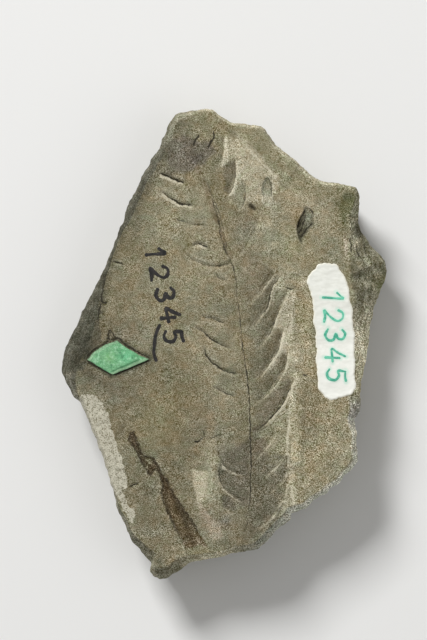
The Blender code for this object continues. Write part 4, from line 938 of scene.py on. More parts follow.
def lobe_shades(tint, x, y):
    """The left of a lobe's margin is darkened and ribbed, fading inwards; beyond it the stone is paler. The
    dark is partly the leaf's carbon and partly painted shade of the lobe's dip, the pale partly broken stone
    and partly a painted highlight on the cliff that faces the lamp. The lobes on the left of the leaf are
    greener inside their vein and pinker outside, the pinker side partly painted light on the lobe below the
    vein."""
    ragged = 0.25 * rough(x, y, 0.0, 0.5, 40)
    for _, fill, _, pales, points in LOBES:
        distance, along = measure(x, y, points)
        fade = smooth(along / 0.15) * smooth((1.0 - along) / 0.12)
        # painted shade, with the leaf's carbon: the lobe darkens towards its margin
        shade = fade * smooth((distance + ragged) / 0.25 + 0.4) * np.exp(-np.maximum(distance, 0.0) / 1.25)
        tint = over(tint, fill * shade, (80, 76, 62))
        # painted highlight, with paler broken stone: the stone beyond the margin is lightened
        glow = fade * smooth((ragged - distance) / 0.25 + 0.4) * np.exp(np.minimum(distance, 0.0) / 0.9)
        tint = over(tint, 0.75 * np.minimum(profile(along, pales), 1.0) * glow, (190, 184, 162))
    for *_, points in LEFT_VEINS:
        distance, along = measure(x, y, points)
        fade = smooth(along / 0.2) * smooth((1.0 - along) / 0.2)
        inner_side = fade * smooth((distance + ragged) / 0.4 + 0.4) * np.exp(-np.maximum(distance, 0.0) / 1.8)
        tint = over(tint, 0.45 * inner_side, (116, 115, 98))
        # partly painted light: the lobe below each vein is paler
        outer_side = fade * smooth((ragged - distance) / 0.4 + 0.4) * np.exp(np.minimum(distance, 0.0) / 0.8)
        tint = over(tint, 0.35 * outer_side, (156, 147, 126))
    return tint + (20.0 * streaks(x, y, LOBES + LEFT_VEINS))[..., None]


def stem_paint(tint, x, y):
    """Brown wood inside the stem's outline, streaked along it, darker at its border and its upper right
    side, patchy at its thin upper end; hands back the signed distance to the outline too."""
    inside = region(x + 0.13 * rough(x, y, 0.0, 0.5, 43), y + 0.13 * rough(x, y, 3.0, 0.5, 44), STEM_MARK)
    across, along = measure(x, y, STEM[1])
    wood = np.stack([profile(along, channel) for channel in zip(*STEM_COLOURS)], axis=-1)
    shaded = smooth(across / 0.6 + 0.4) * smooth((along - 0.4) / 0.1) * smooth((0.92 - along) / 0.15)
    wood = over(wood, 0.65 * shaded, (56, 49, 33))
    blotchy = smooth((rough(x, y, 2.0, 0.8, 23) - 0.1) / 0.4)
    wood = over(wood, 0.45 * blotchy, (54, 46, 30))
    border = np.exp(-(np.maximum(inside, 0.0) / 0.26) ** 2) * smooth((0.93 - along) / 0.15)
    wood = over(wood, 0.6 * border, (48, 41, 26))
    fibres = rough(along * 22.0, across / 0.28, 0.0, 2.2, 45) + 0.8 * rough(x, y, 0.0, 0.45, 46)
    wood = wood + (17.0 * fibres)[..., None]
    gaps = smooth((0.42 - along) / 0.1) * smooth((rough(x, y, 0.0, 0.55, 47) + 0.1) / 0.3)
    patchy = 1.0 - 0.7 * gaps * (1.0 - border)
    amount = 0.92 * smooth(inside / 0.15 + 0.5) * patchy
    return tint + amount[..., None] * (wood - tint), inside


def pit_paint(tint, x, y):
    """Grey streaks running down to the left in the pit, pale in its upper middle, dark low on the left. The
    dark is partly the pit's own stone and partly painted shade, darkest where the hollow is deepest.
    """
    hollow = region(x, y, PIT)
    inside = smooth(hollow / 0.35 + 0.4)
    tint = over(tint, 0.85 * inside, (88, 86, 69))
    upper = np.exp(-((x - 14.4) / 0.55) ** 2 - ((y - 21.6) / 1.1) ** 2)
    tint = over(tint, 0.9 * inside * upper, (142, 144, 126))
    # painted shade: darkest low on the left, where the pit is deepest
    tint = over(tint, 0.7 * inside * smooth((19.6 - y - 0.6 * (x - 13.0)) / 1.5), (66, 64, 48))
    return tint + (smooth(hollow / 0.3) * 16.0 * rough(x - 0.45 * y, 0.25 * y, 0.0, 0.35, 24))[..., None]


def nearest_edge(x, y):
    """Distance to the edge of the face, from every fourth place of it, and the bevel's width there."""
    widths = np.hypot(*(outer - inner).T)
    nearest = np.full(np.shape(x), 1e9)
    width = np.zeros(np.shape(x))
    for place, here in zip(inner[::4], widths[::4]):
        distance = np.hypot(x - place[0], y - place[1])
        closer = distance < nearest
        nearest = np.where(closer, distance, nearest)
        width = np.where(closer, here, width)
    return nearest, width


def under_edge(share):
    """How far down the wall a place lies: 0 to the widest line, 1 from a third of the way below it."""
    return smooth((share - 1.0) / 0.35)


def side_tint(x, y, z, share):
    """The side's colour: on the left a little darker near the face, on the right paler there, a painted light
    that lifts the shade of the steep first terrace, and streaked down the slab, and in the lower right a pale
    grey rim, pale stone painted paler still to lift the shade it falls in. Down the wall, noise pushes the
    places about and all of them near one colour, so that no colour runs straight down. The underside is of
    one colour."""
    deep = under_edge(share)
    push_x = x + 7.0 * deep * rough(x, y, 1.5 * z, 3.5, 52)
    push_y = y + 7.0 * deep * rough(x, y, 1.5 * z, 3.5, 53)
    left = 1.0 - smooth((push_x + 14.0) / 8.0)
    right = smooth((x - 14.0) / 6.0) * smooth((y + 14.0) / 6.0)
    lower = smooth((push_x - 4.0) / 6.0) * smooth((-14.0 - push_y) / 5.0) * (1.0 - 0.6 * deep)
    shade = over(side_shade(push_x, push_y), 0.5 * deep, (118, 114, 95))
    shade = shade + (left * (14.0 * smooth(share / 0.9) - 2.0) * (share < 1.0))[..., None]
    # painted light: the right bevel is lightened near the face, where its steep first terrace faces away from
    # the lamp
    shade = shade + (right * 8.0 * (1.0 - smooth(share / 0.5)))[..., None]
    # pale stone in the lower right, painted paler still as painted light where the side turns away from the
    # lamp
    shade = over(shade, 0.75 * lower * smooth((share - 0.15) / 0.4), (182, 182, 168))
    layers = (1.0 - deep) * rough(x + 0.65 * np.maximum(y - 10.0, 0.0), 0.15 * y, 0.0, 0.4, 51)
    shade = shade + (right * 15.0 * layers)[..., None]
    mottling = 9.0 * rough(x, y, deep * z, 1.3, 29) + 9.0 * rough(x, y, deep * z, 0.5, 28)
    return over(shade + mottling[..., None], smooth((share - 1.6) / 0.4), (116, 112, 93))


def paint(x, y, z, side, share):
    """Clouds first, then patches and strokes with an eased edge, all on places pushed about by noise so no
    edge runs clean; then lobes, stem, pit and the broken side."""
    push_x = x + 0.3 * rough(x, y, 0.0, 1.1, 31) + 0.14 * rough(x, y, 0.0, 0.45, 32)
    push_y = y + 0.3 * rough(x, y, 5.0, 1.1, 33) + 0.14 * rough(x, y, 5.0, 0.45, 34)
    tint = clouds(x, y)
    for softness, strength, colour, corners in PATCHES:
        inside = region(push_x, push_y, corners)
        tint = over(tint, strength * smooth(inside / softness + 0.5), colour)
    tint = lobe_shades(tint, x, y)
    tint = pit_paint(tint, x, y)
    for softness, strength, colour, half_widths, points in STROKES:
        inside = hollow_edge(0.5 * (x + push_x), 0.5 * (y + push_y), points, half_widths)
        worn = 0.75 + 0.25 * rough(x, y, 0.0, 0.5, 48)
        tint = over(tint, strength * worn * smooth(inside / softness + 0.5), colour)
    tint = bells(tint, push_x, push_y, SPOTS)
    tint, stem = stem_paint(tint, x, y)
    near, width = nearest_edge(x, y)
    wide = smooth((width - 1.2) / 1.2)
    ragged = 0.5 * rough(x, y, 0.0, 1.3, 49) + 0.2 * rough(x, y, 0.0, 0.5, 30)
    broken = (1.0 - side) * wide * smooth((0.55 + ragged - near) / 0.7)
    left = (1.0 - smooth((x + 10.0) / 5.0)) * smooth((y + 4.0) / 5.0)
    tint = over(tint, 0.6 * left * np.exp(-(near / 0.8) ** 2) * (1.0 - side), (82, 78, 62))
    # a thin pale line painted along the edge of the face, except on the left
    worn = (1.0 - left) * np.exp(-(near / 0.3) ** 2) * (1.0 - side) * (1.0 - wide)
    tint = over(tint, 0.3 * worn, (172, 167, 144))
    amount = np.clip(side + broken, 0.0, 1.0)
    return tint + amount[..., None] * (side_tint(x, y, z, share) - tint), stem


def speckle(x, y, side, share):
    """The strength of the speckle: each row of the table pulls it to its own value by a bell curve. The
    bevel is coarser, most of all on the right, and the wall finer, so its beds show."""
    strength = np.ones(np.shape(x))
    for across, along, wide, tall, value in SPECKLE:
        bell = np.exp(-((x - across) / wide) ** 2 - ((y - along) / tall) ** 2)
        strength = strength + bell * (value - 1.0)
    strength = strength * (1.0 + side * (0.15 + 0.35 * smooth((x - 10.0) / 8.0)))
    return strength + under_edge(share) * (0.45 - strength)


slab_x, slab_y, slab_z = slab_places.T
slab_tint, slab_stem = paint(slab_x, slab_y, slab_z, slab_side, slab_share)
print("mean colour of the face:", np.round(slab_tint[slab_side < 0.5].mean(axis=0)))

# %% [markdown]
# ## Thin dark strokes that stay sharp
# A vein is a sixth of a millimetre wide, less than a cell of the mesh, so its colour can't live on the
# vertices. Its signed distance can: that changes evenly from vertex to vertex, and the shader cuts the
# stroke out of it wherever it passes through zero. Three numbers go with each vertex: the distance to the
# nearest line, how dark that line is, and how pale the stone beside it. The dark stroke is partly painted
# shadow in furrows, cracks and at the foot of cliffs, and the pale lip partly painted light on the wall
# that faces the lamp.

# %% Distances for the shader
STRIP = (
    (-25.1, -9.2), (-24.6, -8.7), (-23.7, -8.5), (-22.3, -8.6), (-21.4, -9.3), (-20.9, -10), (-20, -11.3),
    (-19.6, -12.2), (-19.4, -13.4), (-19, -14.9), (-18.5, -16.4), (-18.1, -17.6), (-18.1, -18.3),
    (-17.5, -19), (-17.2, -20.3), (-16.9, -21.8), (-16.5, -23.2), (-16.4, -24.6), (-17.1, -25.1),
    (-16.5, -25.7), (-16.3, -26.7), (-16.1, -27.9), (-15.4, -28), (-15.1, -28.8), (-15.4, -30.7),
    (-15.9, -30.8), (-16.3, -30), (-16.7, -29.2), (-17.5, -28.4), (-18.2, -26.9), (-19, -25.3),
    (-19.8, -24.2), (-20.4, -23), (-20.9, -21), (-21.5, -19.2), (-22.3, -17), (-23.2, -14.9),
    (-24, -12.7), (-24.6, -10.9))


def line_marks(x, y):
    """For each place the signed distance to the nearest line, its darkness and its paleness, faded at the
    ends of the line and beyond 0.9 mm."""
    lines = LOBES + GROOVES
    best = np.full(np.shape(x), 1.5)
    darkness = np.zeros(np.shape(x))
    paleness = np.zeros(np.shape(x))
    for *_, darks, pales, points in lines:
        distance, along = measure(x, y, points)
        fade = smooth(along / 0.12) * smooth((1.0 - along) / 0.12)
        fade = fade * smooth((0.9 - np.abs(distance)) / 0.3)
        closer = np.abs(distance) < np.abs(best)
        best = np.where(closer, -distance, best)
        darkness = np.where(closer, profile(along, darks) * fade, darkness)
        paleness = np.where(closer, profile(along, pales) * fade, paleness)
    uneven = 1.0 + 0.45 * rough(x, y, 0.0, 0.8, 27)
    return np.stack((best, darkness * uneven, paleness * uneven), axis=1)


def put_attribute(made, name, kind, values):
    """Store one row of numbers per vertex under a name that the shader reads."""
    fields = {"FLOAT_COLOR": "color", "FLOAT_VECTOR": "vector", "FLOAT": "value"}
    attribute = made.data.attributes.new(name, kind, "POINT")
    attribute.data.foreach_set(fields[kind], np.ascontiguousarray(values, dtype=np.float32).ravel())


def put_tint(made, tint):
    """Store screen colours as linear light."""
    put_attribute(made, "tint", "FLOAT_COLOR", np.column_stack((linear(tint), np.ones(len(tint)))))


put_tint(slab, np.clip(slab_tint, 0.0, 255.0))
slab_deep = under_edge(slab_share)
slab_lines = over(line_marks(slab_x, slab_y), slab_deep, (1.5, 0.0, 0.0))
put_attribute(slab, "line", "FLOAT_VECTOR", slab_lines)
strip = region(slab_x, slab_y, STRIP)
strip = strip - 0.08 - 0.45 * np.exp(-((slab_x + 17.4) ** 2 + (slab_y + 26.4) ** 2) / 1.5 ** 2)
coat_end = 2.0 - THICKNESS * np.maximum(slab_share - 1.0, 0.0) + 0.8 * rough(slab_x, slab_y, 0.0, 1.1, 54)
strip = np.clip(np.minimum(strip, coat_end), -2.0, 2.0)
stem = np.clip(slab_stem - 4.0 * slab_deep, -2.0, 2.0)
marks = np.stack((strip, stem, slab_side), axis=1)
put_attribute(slab, "marks", "FLOAT_VECTOR", marks)
put_attribute(slab, "speckle", "FLOAT", speckle(slab_x, slab_y, slab_side, slab_share))
print("attributes:", [attribute.name for attribute in slab.data.attributes if attribute.name[0] != "."][:6])

# %% [markdown]
# ## Wiring shaders without clutter
# A material is a graph of nodes. These helpers add a node, set or link its inputs and hand back its output,
# so that the materials below read like formulas.

# %% Node helpers
def new_material(name):
    """A material with only its Principled shader, and that shader."""
    material = bpy.data.materials.new(name)
    material.use_nodes = True
    return material, material.node_tree, material.node_tree.nodes["Principled BSDF"]


def feed(tree, socket, value):
    """Link a socket to another, or set it to a number."""
    if isinstance(value, bpy.types.NodeSocket):
        tree.links.new(value, socket)
    else:
        socket.default_value = value


def maths(tree, operation, first, second=0.0, clamp=False):
    """One operation on two numbers or sockets."""
    made = tree.nodes.new("ShaderNodeMath")
    made.operation = operation
    made.use_clamp = clamp
    feed(tree, made.inputs[0], first)
    feed(tree, made.inputs[1], second)
    return made.outputs[0]


def times(tree, first, second):
    """The product of two numbers or sockets."""
    return maths(tree, "MULTIPLY", first, second)


def plus(tree, first, second):
    """The sum of two numbers or sockets."""
    return maths(tree, "ADD", first, second)


def centred(tree, noise):
    """Noise moved to lie either side of nothing."""
    return maths(tree, "SUBTRACT", noise, 0.5)


def ease(tree, value, start, end, low=0.0, high=1.0):
    """Smooth step of a value from start to end."""
    made = tree.nodes.new("ShaderNodeMapRange")
    made.interpolation_type = "SMOOTHSTEP"
    for socket, number in zip(made.inputs[:5], (value, start, end, low, high)):
        feed(tree, socket, number)
    return made.outputs[0]


def mixed(tree, factor, first, second, blend="MIX"):
    """One colour mixed over another."""
    made = tree.nodes.new("ShaderNodeMix")
    made.data_type = "RGBA"
    made.blend_type = blend
    feed(tree, made.inputs[0], factor)
    for socket, colour in ((made.inputs[6], first), (made.inputs[7], second)):
        if isinstance(colour, tuple):
            colour = tuple(linear(colour)) + (1.0,)
        feed(tree, socket, colour)
    return made.outputs[2]


def grain(tree, vector, scale, detail=3.0, roughness=0.6):
    """Cloudy noise between 0 and 1 at so many cells a metre."""
    made = tree.nodes.new("ShaderNodeTexNoise")
    tree.links.new(vector, made.inputs["Vector"])
    made.inputs["Scale"].default_value = scale
    made.inputs["Detail"].default_value = detail
    made.inputs["Roughness"].default_value = roughness
    return made.outputs["Fac"]


def read_attribute(tree, name):
    """The attribute node of a name."""
    made = tree.nodes.new("ShaderNodeAttribute")
    made.attribute_name = name
    return made


def parts(tree, vector):
    """The three numbers of a vector."""
    made = tree.nodes.new("ShaderNodeSeparateXYZ")
    tree.links.new(vector, made.inputs[0])
    return made.outputs


def place_of(tree, scale=(1.0, 1.0, 1.0)):
    """Object coordinates, stretched by a scale."""
    coordinates = tree.nodes.new("ShaderNodeTexCoord")
    mapping = tree.nodes.new("ShaderNodeMapping")
    mapping.inputs["Scale"].default_value = scale
    tree.links.new(coordinates.outputs["Object"], mapping.inputs["Vector"])
    return mapping.outputs["Vector"]


def grey(tree, level):
    """A grey as bright as a number."""
    made = tree.nodes.new("ShaderNodeCombineColor")
    for socket in made.inputs:
        feed(tree, socket, level)
    return made.outputs[0]


def bump(tree, shader, height, depth, strength=1.0):
    """Dent a shader's surface by a height from 0 to 1 that stands for `depth` metres."""
    made = tree.nodes.new("ShaderNodeBump")
    made.inputs["Strength"].default_value = strength
    made.inputs["Distance"].default_value = depth
    tree.links.new(height, made.inputs["Height"])
    tree.links.new(made.outputs["Normal"], shader.inputs["Normal"])


print("helpers ready")

# %% [markdown]
# ## Shale
# Up close shale is a fine speckle of lighter and darker grains, a quarter of a millimetre and less, on a
# slower mottling. On the broken side the speckle gives way to thin beds, so there the noise is squeezed
# along Z. The shader takes the painted tint, multiplies it by grain, draws the dark and pale strokes from
# their distances, and brushes the white strip over it all.

# %% Shale material
def rib_noise(tree, line_distance):
    """Noise that changes quickly with the distance to a line and slowly along it, so it runs beside it."""
    joined = tree.nodes.new("ShaderNodeCombineXYZ")
    feed(tree, joined.inputs[0], times(tree, line_distance, MM))
    across_lines = tree.nodes.new("ShaderNodeVectorMath")
    across_lines.operation = "ADD"
    feed(tree, across_lines.inputs[0], joined.outputs[0])
    feed(tree, across_lines.inputs[1], place_of(tree, (0.12, 0.12, 0.12)))
    return grain(tree, across_lines.outputs[0], 4200.0, 1.0)


def shale_material():
    """Tint times grain, then beds on the side, strokes, the edge of the stem, and the painted strip."""
    material, tree, shader = new_material("shale")
    place = place_of(tree)
    slow = grain(tree, place, 420.0, 3.0)
    middle = grain(tree, place, 1500.0, 3.0, 0.65)
    grit = grain(tree, place, 3000.0, 2.0, 0.6)
    fine = grain(tree, place, 6600.0, 1.0, 0.6)
    hue = grain(tree, place_of(tree, (1.0, 1.3, 1.0)), 700.0, 2.0, 0.6)
    beds = grain(tree, place_of(tree, (0.1, 0.1, 1.0)), 2300.0, 3.0, 0.65)
    line_d, line_dark, line_pale = parts(tree, read_attribute(tree, "line").outputs["Vector"])
    strip_d, stem_d, side = parts(tree, read_attribute(tree, "marks").outputs["Vector"])

    wood = ease(tree, stem_d, -0.1, 0.15)
    busy = read_attribute(tree, "speckle").outputs["Fac"]
    busy = plus(tree, times(tree, wood, 1.7), busy)
    level = times(tree, centred(tree, fine), ease(tree, slow, 0.4, 0.6, 3.5, 5.6))
    level = plus(tree, level, times(tree, centred(tree, middle), 1.0))
    level = times(tree, level, busy)
    level = plus(tree, level, times(tree, centred(tree, slow), 0.5))
    beside = maths(tree, "ABSOLUTE", line_d)
    ribs = centred(tree, rib_noise(tree, line_d))
    ribs = times(tree, ribs, ease(tree, beside, 1.3, 0.7, 0.0, 0.9))
    level = plus(tree, level, ribs)
    level = times(tree, level, plus(tree, times(tree, side, 0.5), 1.0))
    bedding = times(tree, centred(tree, beds), side)
    level = plus(tree, level, times(tree, bedding, 2.6))
    level = maths(tree, "MAXIMUM", level, -0.72)
    tint = read_attribute(tree, "tint").outputs["Color"]
    lightness = tree.nodes.new("ShaderNodeRGBToBW")
    tree.links.new(tint, lightness.inputs[0])
    grain_grey = grey(tree, times(tree, level, lightness.outputs[0]))
    speckled = mixed(tree, 1.0, tint, grain_grey, "ADD")
    shaded = mixed(tree, 1.0, tint, grey(tree, plus(tree, level, 1.0)), "MULTIPLY")
    colour = mixed(tree, 0.5, speckled, shaded)
    warm = ease(tree, hue, 0.5, 0.66, 0.0, 0.25)
    colour = mixed(tree, warm, colour, mixed(tree, 1.0, colour, (255, 234, 206), "MULTIPLY"))
    green = ease(tree, hue, 0.5, 0.34, 0.0, 0.22)
    colour = mixed(tree, green, colour, mixed(tree, 1.0, colour, (232, 255, 226), "MULTIPLY"))

    wobble = times(tree, centred(tree, middle), 0.75)
    shifted = plus(tree, line_d, wobble)
    off = maths(tree, "ABSOLUTE", plus(tree, shifted, 0.03))
    half_width = times(tree, line_dark, 0.11)
    stroke = ease(tree, off, plus(tree, half_width, 0.09), half_width)
    stroke = times(tree, stroke, ease(tree, line_dark, 0.0, 0.65))
    stroke = times(tree, stroke, ease(tree, fine, 0.3, 0.55, 0.6, 1.0))
    reach = times(tree, line_pale, ease(tree, middle, 0.35, 0.65, 0.2, 0.55))
    lip = ease(tree, shifted, 0.02, 0.14)
    lip = times(tree, lip, ease(tree, shifted, plus(tree, reach, 0.3), reach))
    lip = times(tree, lip, ease(tree, line_pale, 0.0, 1.1, 0.0, 0.75))
    lip = times(tree, lip, ease(tree, fine, 0.35, 0.6, 0.35, 1.0))
    # painted highlight, with paler broken stone: the lip on the side of a line that faces the lamp
    colour = mixed(tree, lip, colour, (210, 204, 182))
    # painted shadow, with the leaf's carbon: the dark stroke in a furrow, a crack and at a cliff's foot
    colour = mixed(tree, stroke, colour, (44, 41, 32))

    stem_edge = plus(tree, stem_d, times(tree, centred(tree, grit), 1.1))
    stem_edge = maths(tree, "ABSOLUTE", stem_edge)
    stem_edge = times(tree, ease(tree, stem_edge, 0.26, 0.05), 0.85)
    stem_edge = times(tree, stem_edge, ease(tree, middle, 0.35, 0.55, 0.2, 1.0))
    stem_edge = times(tree, stem_edge, ease(tree, parts(tree, place)[1], -0.0335, -0.0315))
    colour = mixed(tree, stem_edge, colour, (46, 37, 23))

    ragged = times(tree, centred(tree, middle), 0.9)
    coat = ease(tree, plus(tree, strip_d, ragged), -0.05, 0.12)
    thin = plus(tree, times(tree, fine, 1.3), times(tree, middle, 0.9))
    thin = ease(tree, thin, 0.8, 1.25, 0.1, 1.0)
    colour = mixed(tree, times(tree, coat, thin), colour, (196, 192, 174))
    tree.links.new(colour, shader.inputs["Base Color"])
    shader.inputs["Roughness"].default_value = 0.88
    shader.inputs["Specular IOR Level"].default_value = 0.25
    bump(tree, shader, plus(tree, middle, fine), 0.00012, 0.8)
    return material


slab.data.materials.append(shale_material())
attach(slab, "root")
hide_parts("slab")
print("shale laid on", slab.name)

# %% [markdown]
# ## The white painted label
# A dab of white paint marks the right of the slab. It isn't paper: its edge is scalloped by the brush, it
# follows the stone and fills half of the grain. So it is a film: a grid fitted to the dab's outline like
# the face, with each place lifted less than a tenth of a millimetre, most in a bead near the rim.

# %% Painted label
LABEL = (
    (15.9, 13.6), (17, 13.8), (18.1, 13.8), (19.1, 13.7), (19.6, 13.2), (19.8, 12.6), (20.3, 12),
    (20.8, 11.2), (21, 10.2), (21.3, 9.8), (21.4, 9), (21.5, 7.8), (21.7, 7), (22.1, 6), (21.9, 4.1),
    (22.1, 3), (22.4, 1.7), (22.3, -0.5), (22.2, -1.6), (22.4, -2.9), (22.5, -4.2), (22.3, -5.2),
    (22.6, -6.9), (22.4, -7.8), (22, -8.5), (20.9, -8.9), (19.8, -9.2), (19, -9.4), (18.3, -9.6),
    (17.5, -9.3), (16.9, -8.6), (16.1, -7.8), (16, -6.9), (16, -5.6), (15.9, -4.2), (15.6, -2.8),
    (16, -1), (15.7, -0.3), (15.6, 1), (15.7, 2.6), (15.2, 3.6), (15.3, 4.9), (15.2, 6.6), (15, 8.1),
    (14.6, 9.2), (14.4, 10), (14.1, 10.7), (14.3, 11.3), (14.9, 12.2), (15.6, 12.9))
LABEL_CORNERS = ((16.1, 13.6), (19.7, 13.2), (22, -8.5), (16.9, -8.6))
FILM_ACROSS = 52
FILM_ALONG = 160
FILLED = 0.5


def levelled(x, y, share):
    """The stone's height with that share of its grain filled in, as a coat of paint does."""
    stone = stone_height(x, y)
    return stone + share * (face_height(x, y) - stone)


def film(outline, corners, lift):
    """A grid over an outline whose rim wanders a little. The height of each place is the levelled stone's
    plus a lift that swells to a bead near the rim and falls to nothing at it."""
    spacing = 0.05
    dense = blur(dense_loop(outline, spacing), 0.2 / spacing)
    heading = np.roll(dense, -1, axis=0) - np.roll(dense, 1, axis=0)
    outward = np.column_stack((-heading[:, 1], heading[:, 0])) / np.hypot(*heading.T)[:, None]
    wander = 0.07 * rough(dense[:, 0], dense[:, 1], 0.0, 0.9, 41)
    wander = wander + 0.09 * rough(dense[:, 0], dense[:, 1], 0.0, 0.4, 42)
    dense = dense + outward * wander[:, None]
    rim = between(dense, picked_places(dense, corners, FILM_ACROSS, FILM_ALONG))
    places = patch(rim, FILM_ACROSS, FILM_ALONG, 60)
    inside = np.abs(measure(places[..., 0], places[..., 1], np.vstack((rim, rim[:1])), 1)[0])
    body = smooth(inside / 0.12) * (lift + 0.02 * np.exp(-((inside - 0.3) / 0.22) ** 2))
    z = levelled(places[..., 0], places[..., 1], FILLED * smooth(inside / 0.3)) + body
    return np.concatenate((places, z[..., None]), axis=2), inside


label_places, label_inside = film(LABEL, LABEL_CORNERS, 0.075)
label_grid = np.arange(label_inside.size).reshape(label_inside.shape)
label = mesh_object("painted_label", label_places.reshape(-1, 3), (quads(label_grid),))
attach(label, "root")

# %% [markdown]
# ## Numerals from a brush
# The label and the stone both carry hand-painted numerals, turned a quarter turn so they read down the
# slab. A numeral is a few brush strokes, and a stroke is a ribbon: a profile carried along a line, round at
# both ends, uneven in width, and draped over the stone. The numerals here are a plain run, 1 to 5.

# %% Brush strokes
NUMERALS = {
    "1": (((0.12, 0.7), (0.35, 0.85), (0.56, 1.0), (0.54, 0.6), (0.5, 0.3), (0.48, 0.0)),),
    "2": (((0.1, 0.75), (0.3, 0.97), (0.68, 0.95), (0.86, 0.72), (0.68, 0.45), (0.35, 0.2), (0.08, 0.03),
           (0.5, 0.08), (0.92, 0.03)),),
    "3": (((0.12, 0.86), (0.4, 1.0), (0.76, 0.88), (0.72, 0.64), (0.4, 0.54), (0.8, 0.42), (0.86, 0.18),
           (0.5, 0.0), (0.08, 0.13)),),
    "4": (((0.6, 1.0), (0.34, 0.62), (0.08, 0.33), (0.5, 0.34), (0.95, 0.37)),
          ((0.72, 0.72), (0.69, 0.35), (0.68, 0.0))),
    "5": (((0.26, 0.95), (0.2, 0.58), (0.55, 0.62), (0.86, 0.42), (0.74, 0.1), (0.4, 0.0), (0.1, 0.12)),
          ((0.26, 0.95), (0.6, 0.94), (0.92, 0.98)))}


def brush_stroke(points, half_width, seed):
    """Places of one stroke, as stations by columns: the middle line plus a share of the half width along
    its normal. The half width follows a circle near both ends, and noise of a tenth elsewhere."""
    line = curved(points, 12)
    lengths = np.concatenate(([0.0], np.cumsum(np.hypot(*(line[1:] - line[:-1]).T))))
    count = max(12, int(lengths[-1] / 0.09))
    stations = np.linspace(-half_width, lengths[-1] + half_width, count)
    middle = np.column_stack([np.interp(stations, lengths, line[:, axis]) for axis in (0, 1)])
    heading = np.column_stack([np.interp(stations, lengths, np.gradient(line[:, axis])) for axis in (0, 1)])
    heading /= np.hypot(*heading.T)[:, None]
    past = np.minimum(stations, 0.0) + np.maximum(stations - lengths[-1], 0.0)
    middle = middle + heading * past[:, None]
    normal = np.column_stack((-heading[:, 1], heading[:, 0]))
    from_end = np.minimum(stations - stations[0], stations[-1] - stations)
    cap = np.sqrt(np.clip(1.0 - (1.0 - np.minimum(from_end / half_width, 1.0)) ** 2, 0.0004, 1.0))
    uneven = 1.0 + 0.3 * rough(middle[:, 0], middle[:, 1], 0.0, 0.9, seed)
    uneven = uneven + 0.12 * rough(middle[:, 0], middle[:, 1], 0.0, 0.3, seed + 1)
    across = np.linspace(-1.0, 1.0, 7)
    reach = half_width * cap * uneven
    return middle[:, None] + normal[:, None] * (reach[:, None] * across[None])[..., None]


def numeral_places(boxes, half_width, lean):
    """Strokes of all numerals. A box gives a numeral's start across and along and its height and width; the
    numeral's up is +X, and its reading direction is down the slab, leaning by `lean`."""
    strokes = []
    for number, (numeral, x, y, tall, wide) in enumerate(boxes):
        for stroke in NUMERALS[numeral]:
            local = np.array(stroke)
            points = np.column_stack((x + tall * local[:, 1] + lean * wide * local[:, 0],
                                      y - wide * local[:, 0] + lean * tall * local[:, 1]))
            strokes.append(brush_stroke(points, half_width, 50 + number))
    return strokes


def numeral_object(name, strokes, lift, share):
    """All strokes as one mesh, draped on the levelled stone: the middle of a stroke is lifted most."""
    places = []
    faces = []
    count = 0
    for stroke in strokes:
        crown = 0.012 * (1.0 - np.linspace(-1.0, 1.0, stroke.shape[1]) ** 2)[None]
        z = levelled(stroke[..., 0], stroke[..., 1], share) + lift + crown
        places.append(np.concatenate((stroke, z[..., None]), axis=2).reshape(-1, 3))
        faces.append(quads(count + np.arange(z.size).reshape(z.shape)))
        count += z.size
    made = mesh_object(name, np.vstack(places), faces)
    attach(made, "root")
    return made


LABEL_NUMERALS = (("1", 16.9, 9.0, 3.5, 2.2), ("2", 17.0, 6.0, 3.4, 2.4), ("3", 17.3, 2.7, 3.4, 2.4),
                  ("4", 17.3, -0.6, 3.4, 2.5), ("5", 17.6, -4.1, 3.3, 2.4))
INK_LINE = ((-11, 3.2), (-11.5, 2.1), (-11.8, 0.9), (-11.9, -0.3), (-12, -1.1), (-11.9, -2), (-11.6, -2.8))
STONE_NUMERALS = (("1", -13.4, 16.2, 3.2, 2.0), ("2", -12.8, 13.2, 3.1, 2.5), ("3", -11.8, 9.5, 3.1, 2.5),
                  ("4", -11.0, 6.2, 3.2, 2.7), ("5", -10.4, 2.3, 3.2, 2.4))
label_strokes = numeral_places(LABEL_NUMERALS, 0.2, 0.0)
stone_strokes = numeral_places(STONE_NUMERALS, 0.31, 0.14)
green_numerals = numeral_object("green_numerals", label_strokes, 0.095, FILLED)
stone_strokes.append(brush_stroke(INK_LINE, 0.27, 58))
ink_numerals = numeral_object("ink_numerals", stone_strokes, 0.022, 0.0)

# %% [markdown]
# ## Paint and ink
# The white paint is satin, streaked by the brush, and creamier at the rim. Green has
# bled a little into it round each numeral. The black ink has soaked into the stone and worn off its grains,
# so it is matt and lets specks of tan through.

# %% Paint and ink materials
def nearest_stroke(x, y, strokes):
    """Distance from each place to the middle lines of the strokes."""
    nearest = np.full(np.shape(x), 1e9)
    for stroke in strokes:
        for place in stroke[::2, stroke.shape[1] // 2]:
            nearest = np.minimum(nearest, np.hypot(x - place[0], y - place[1]))
    return nearest


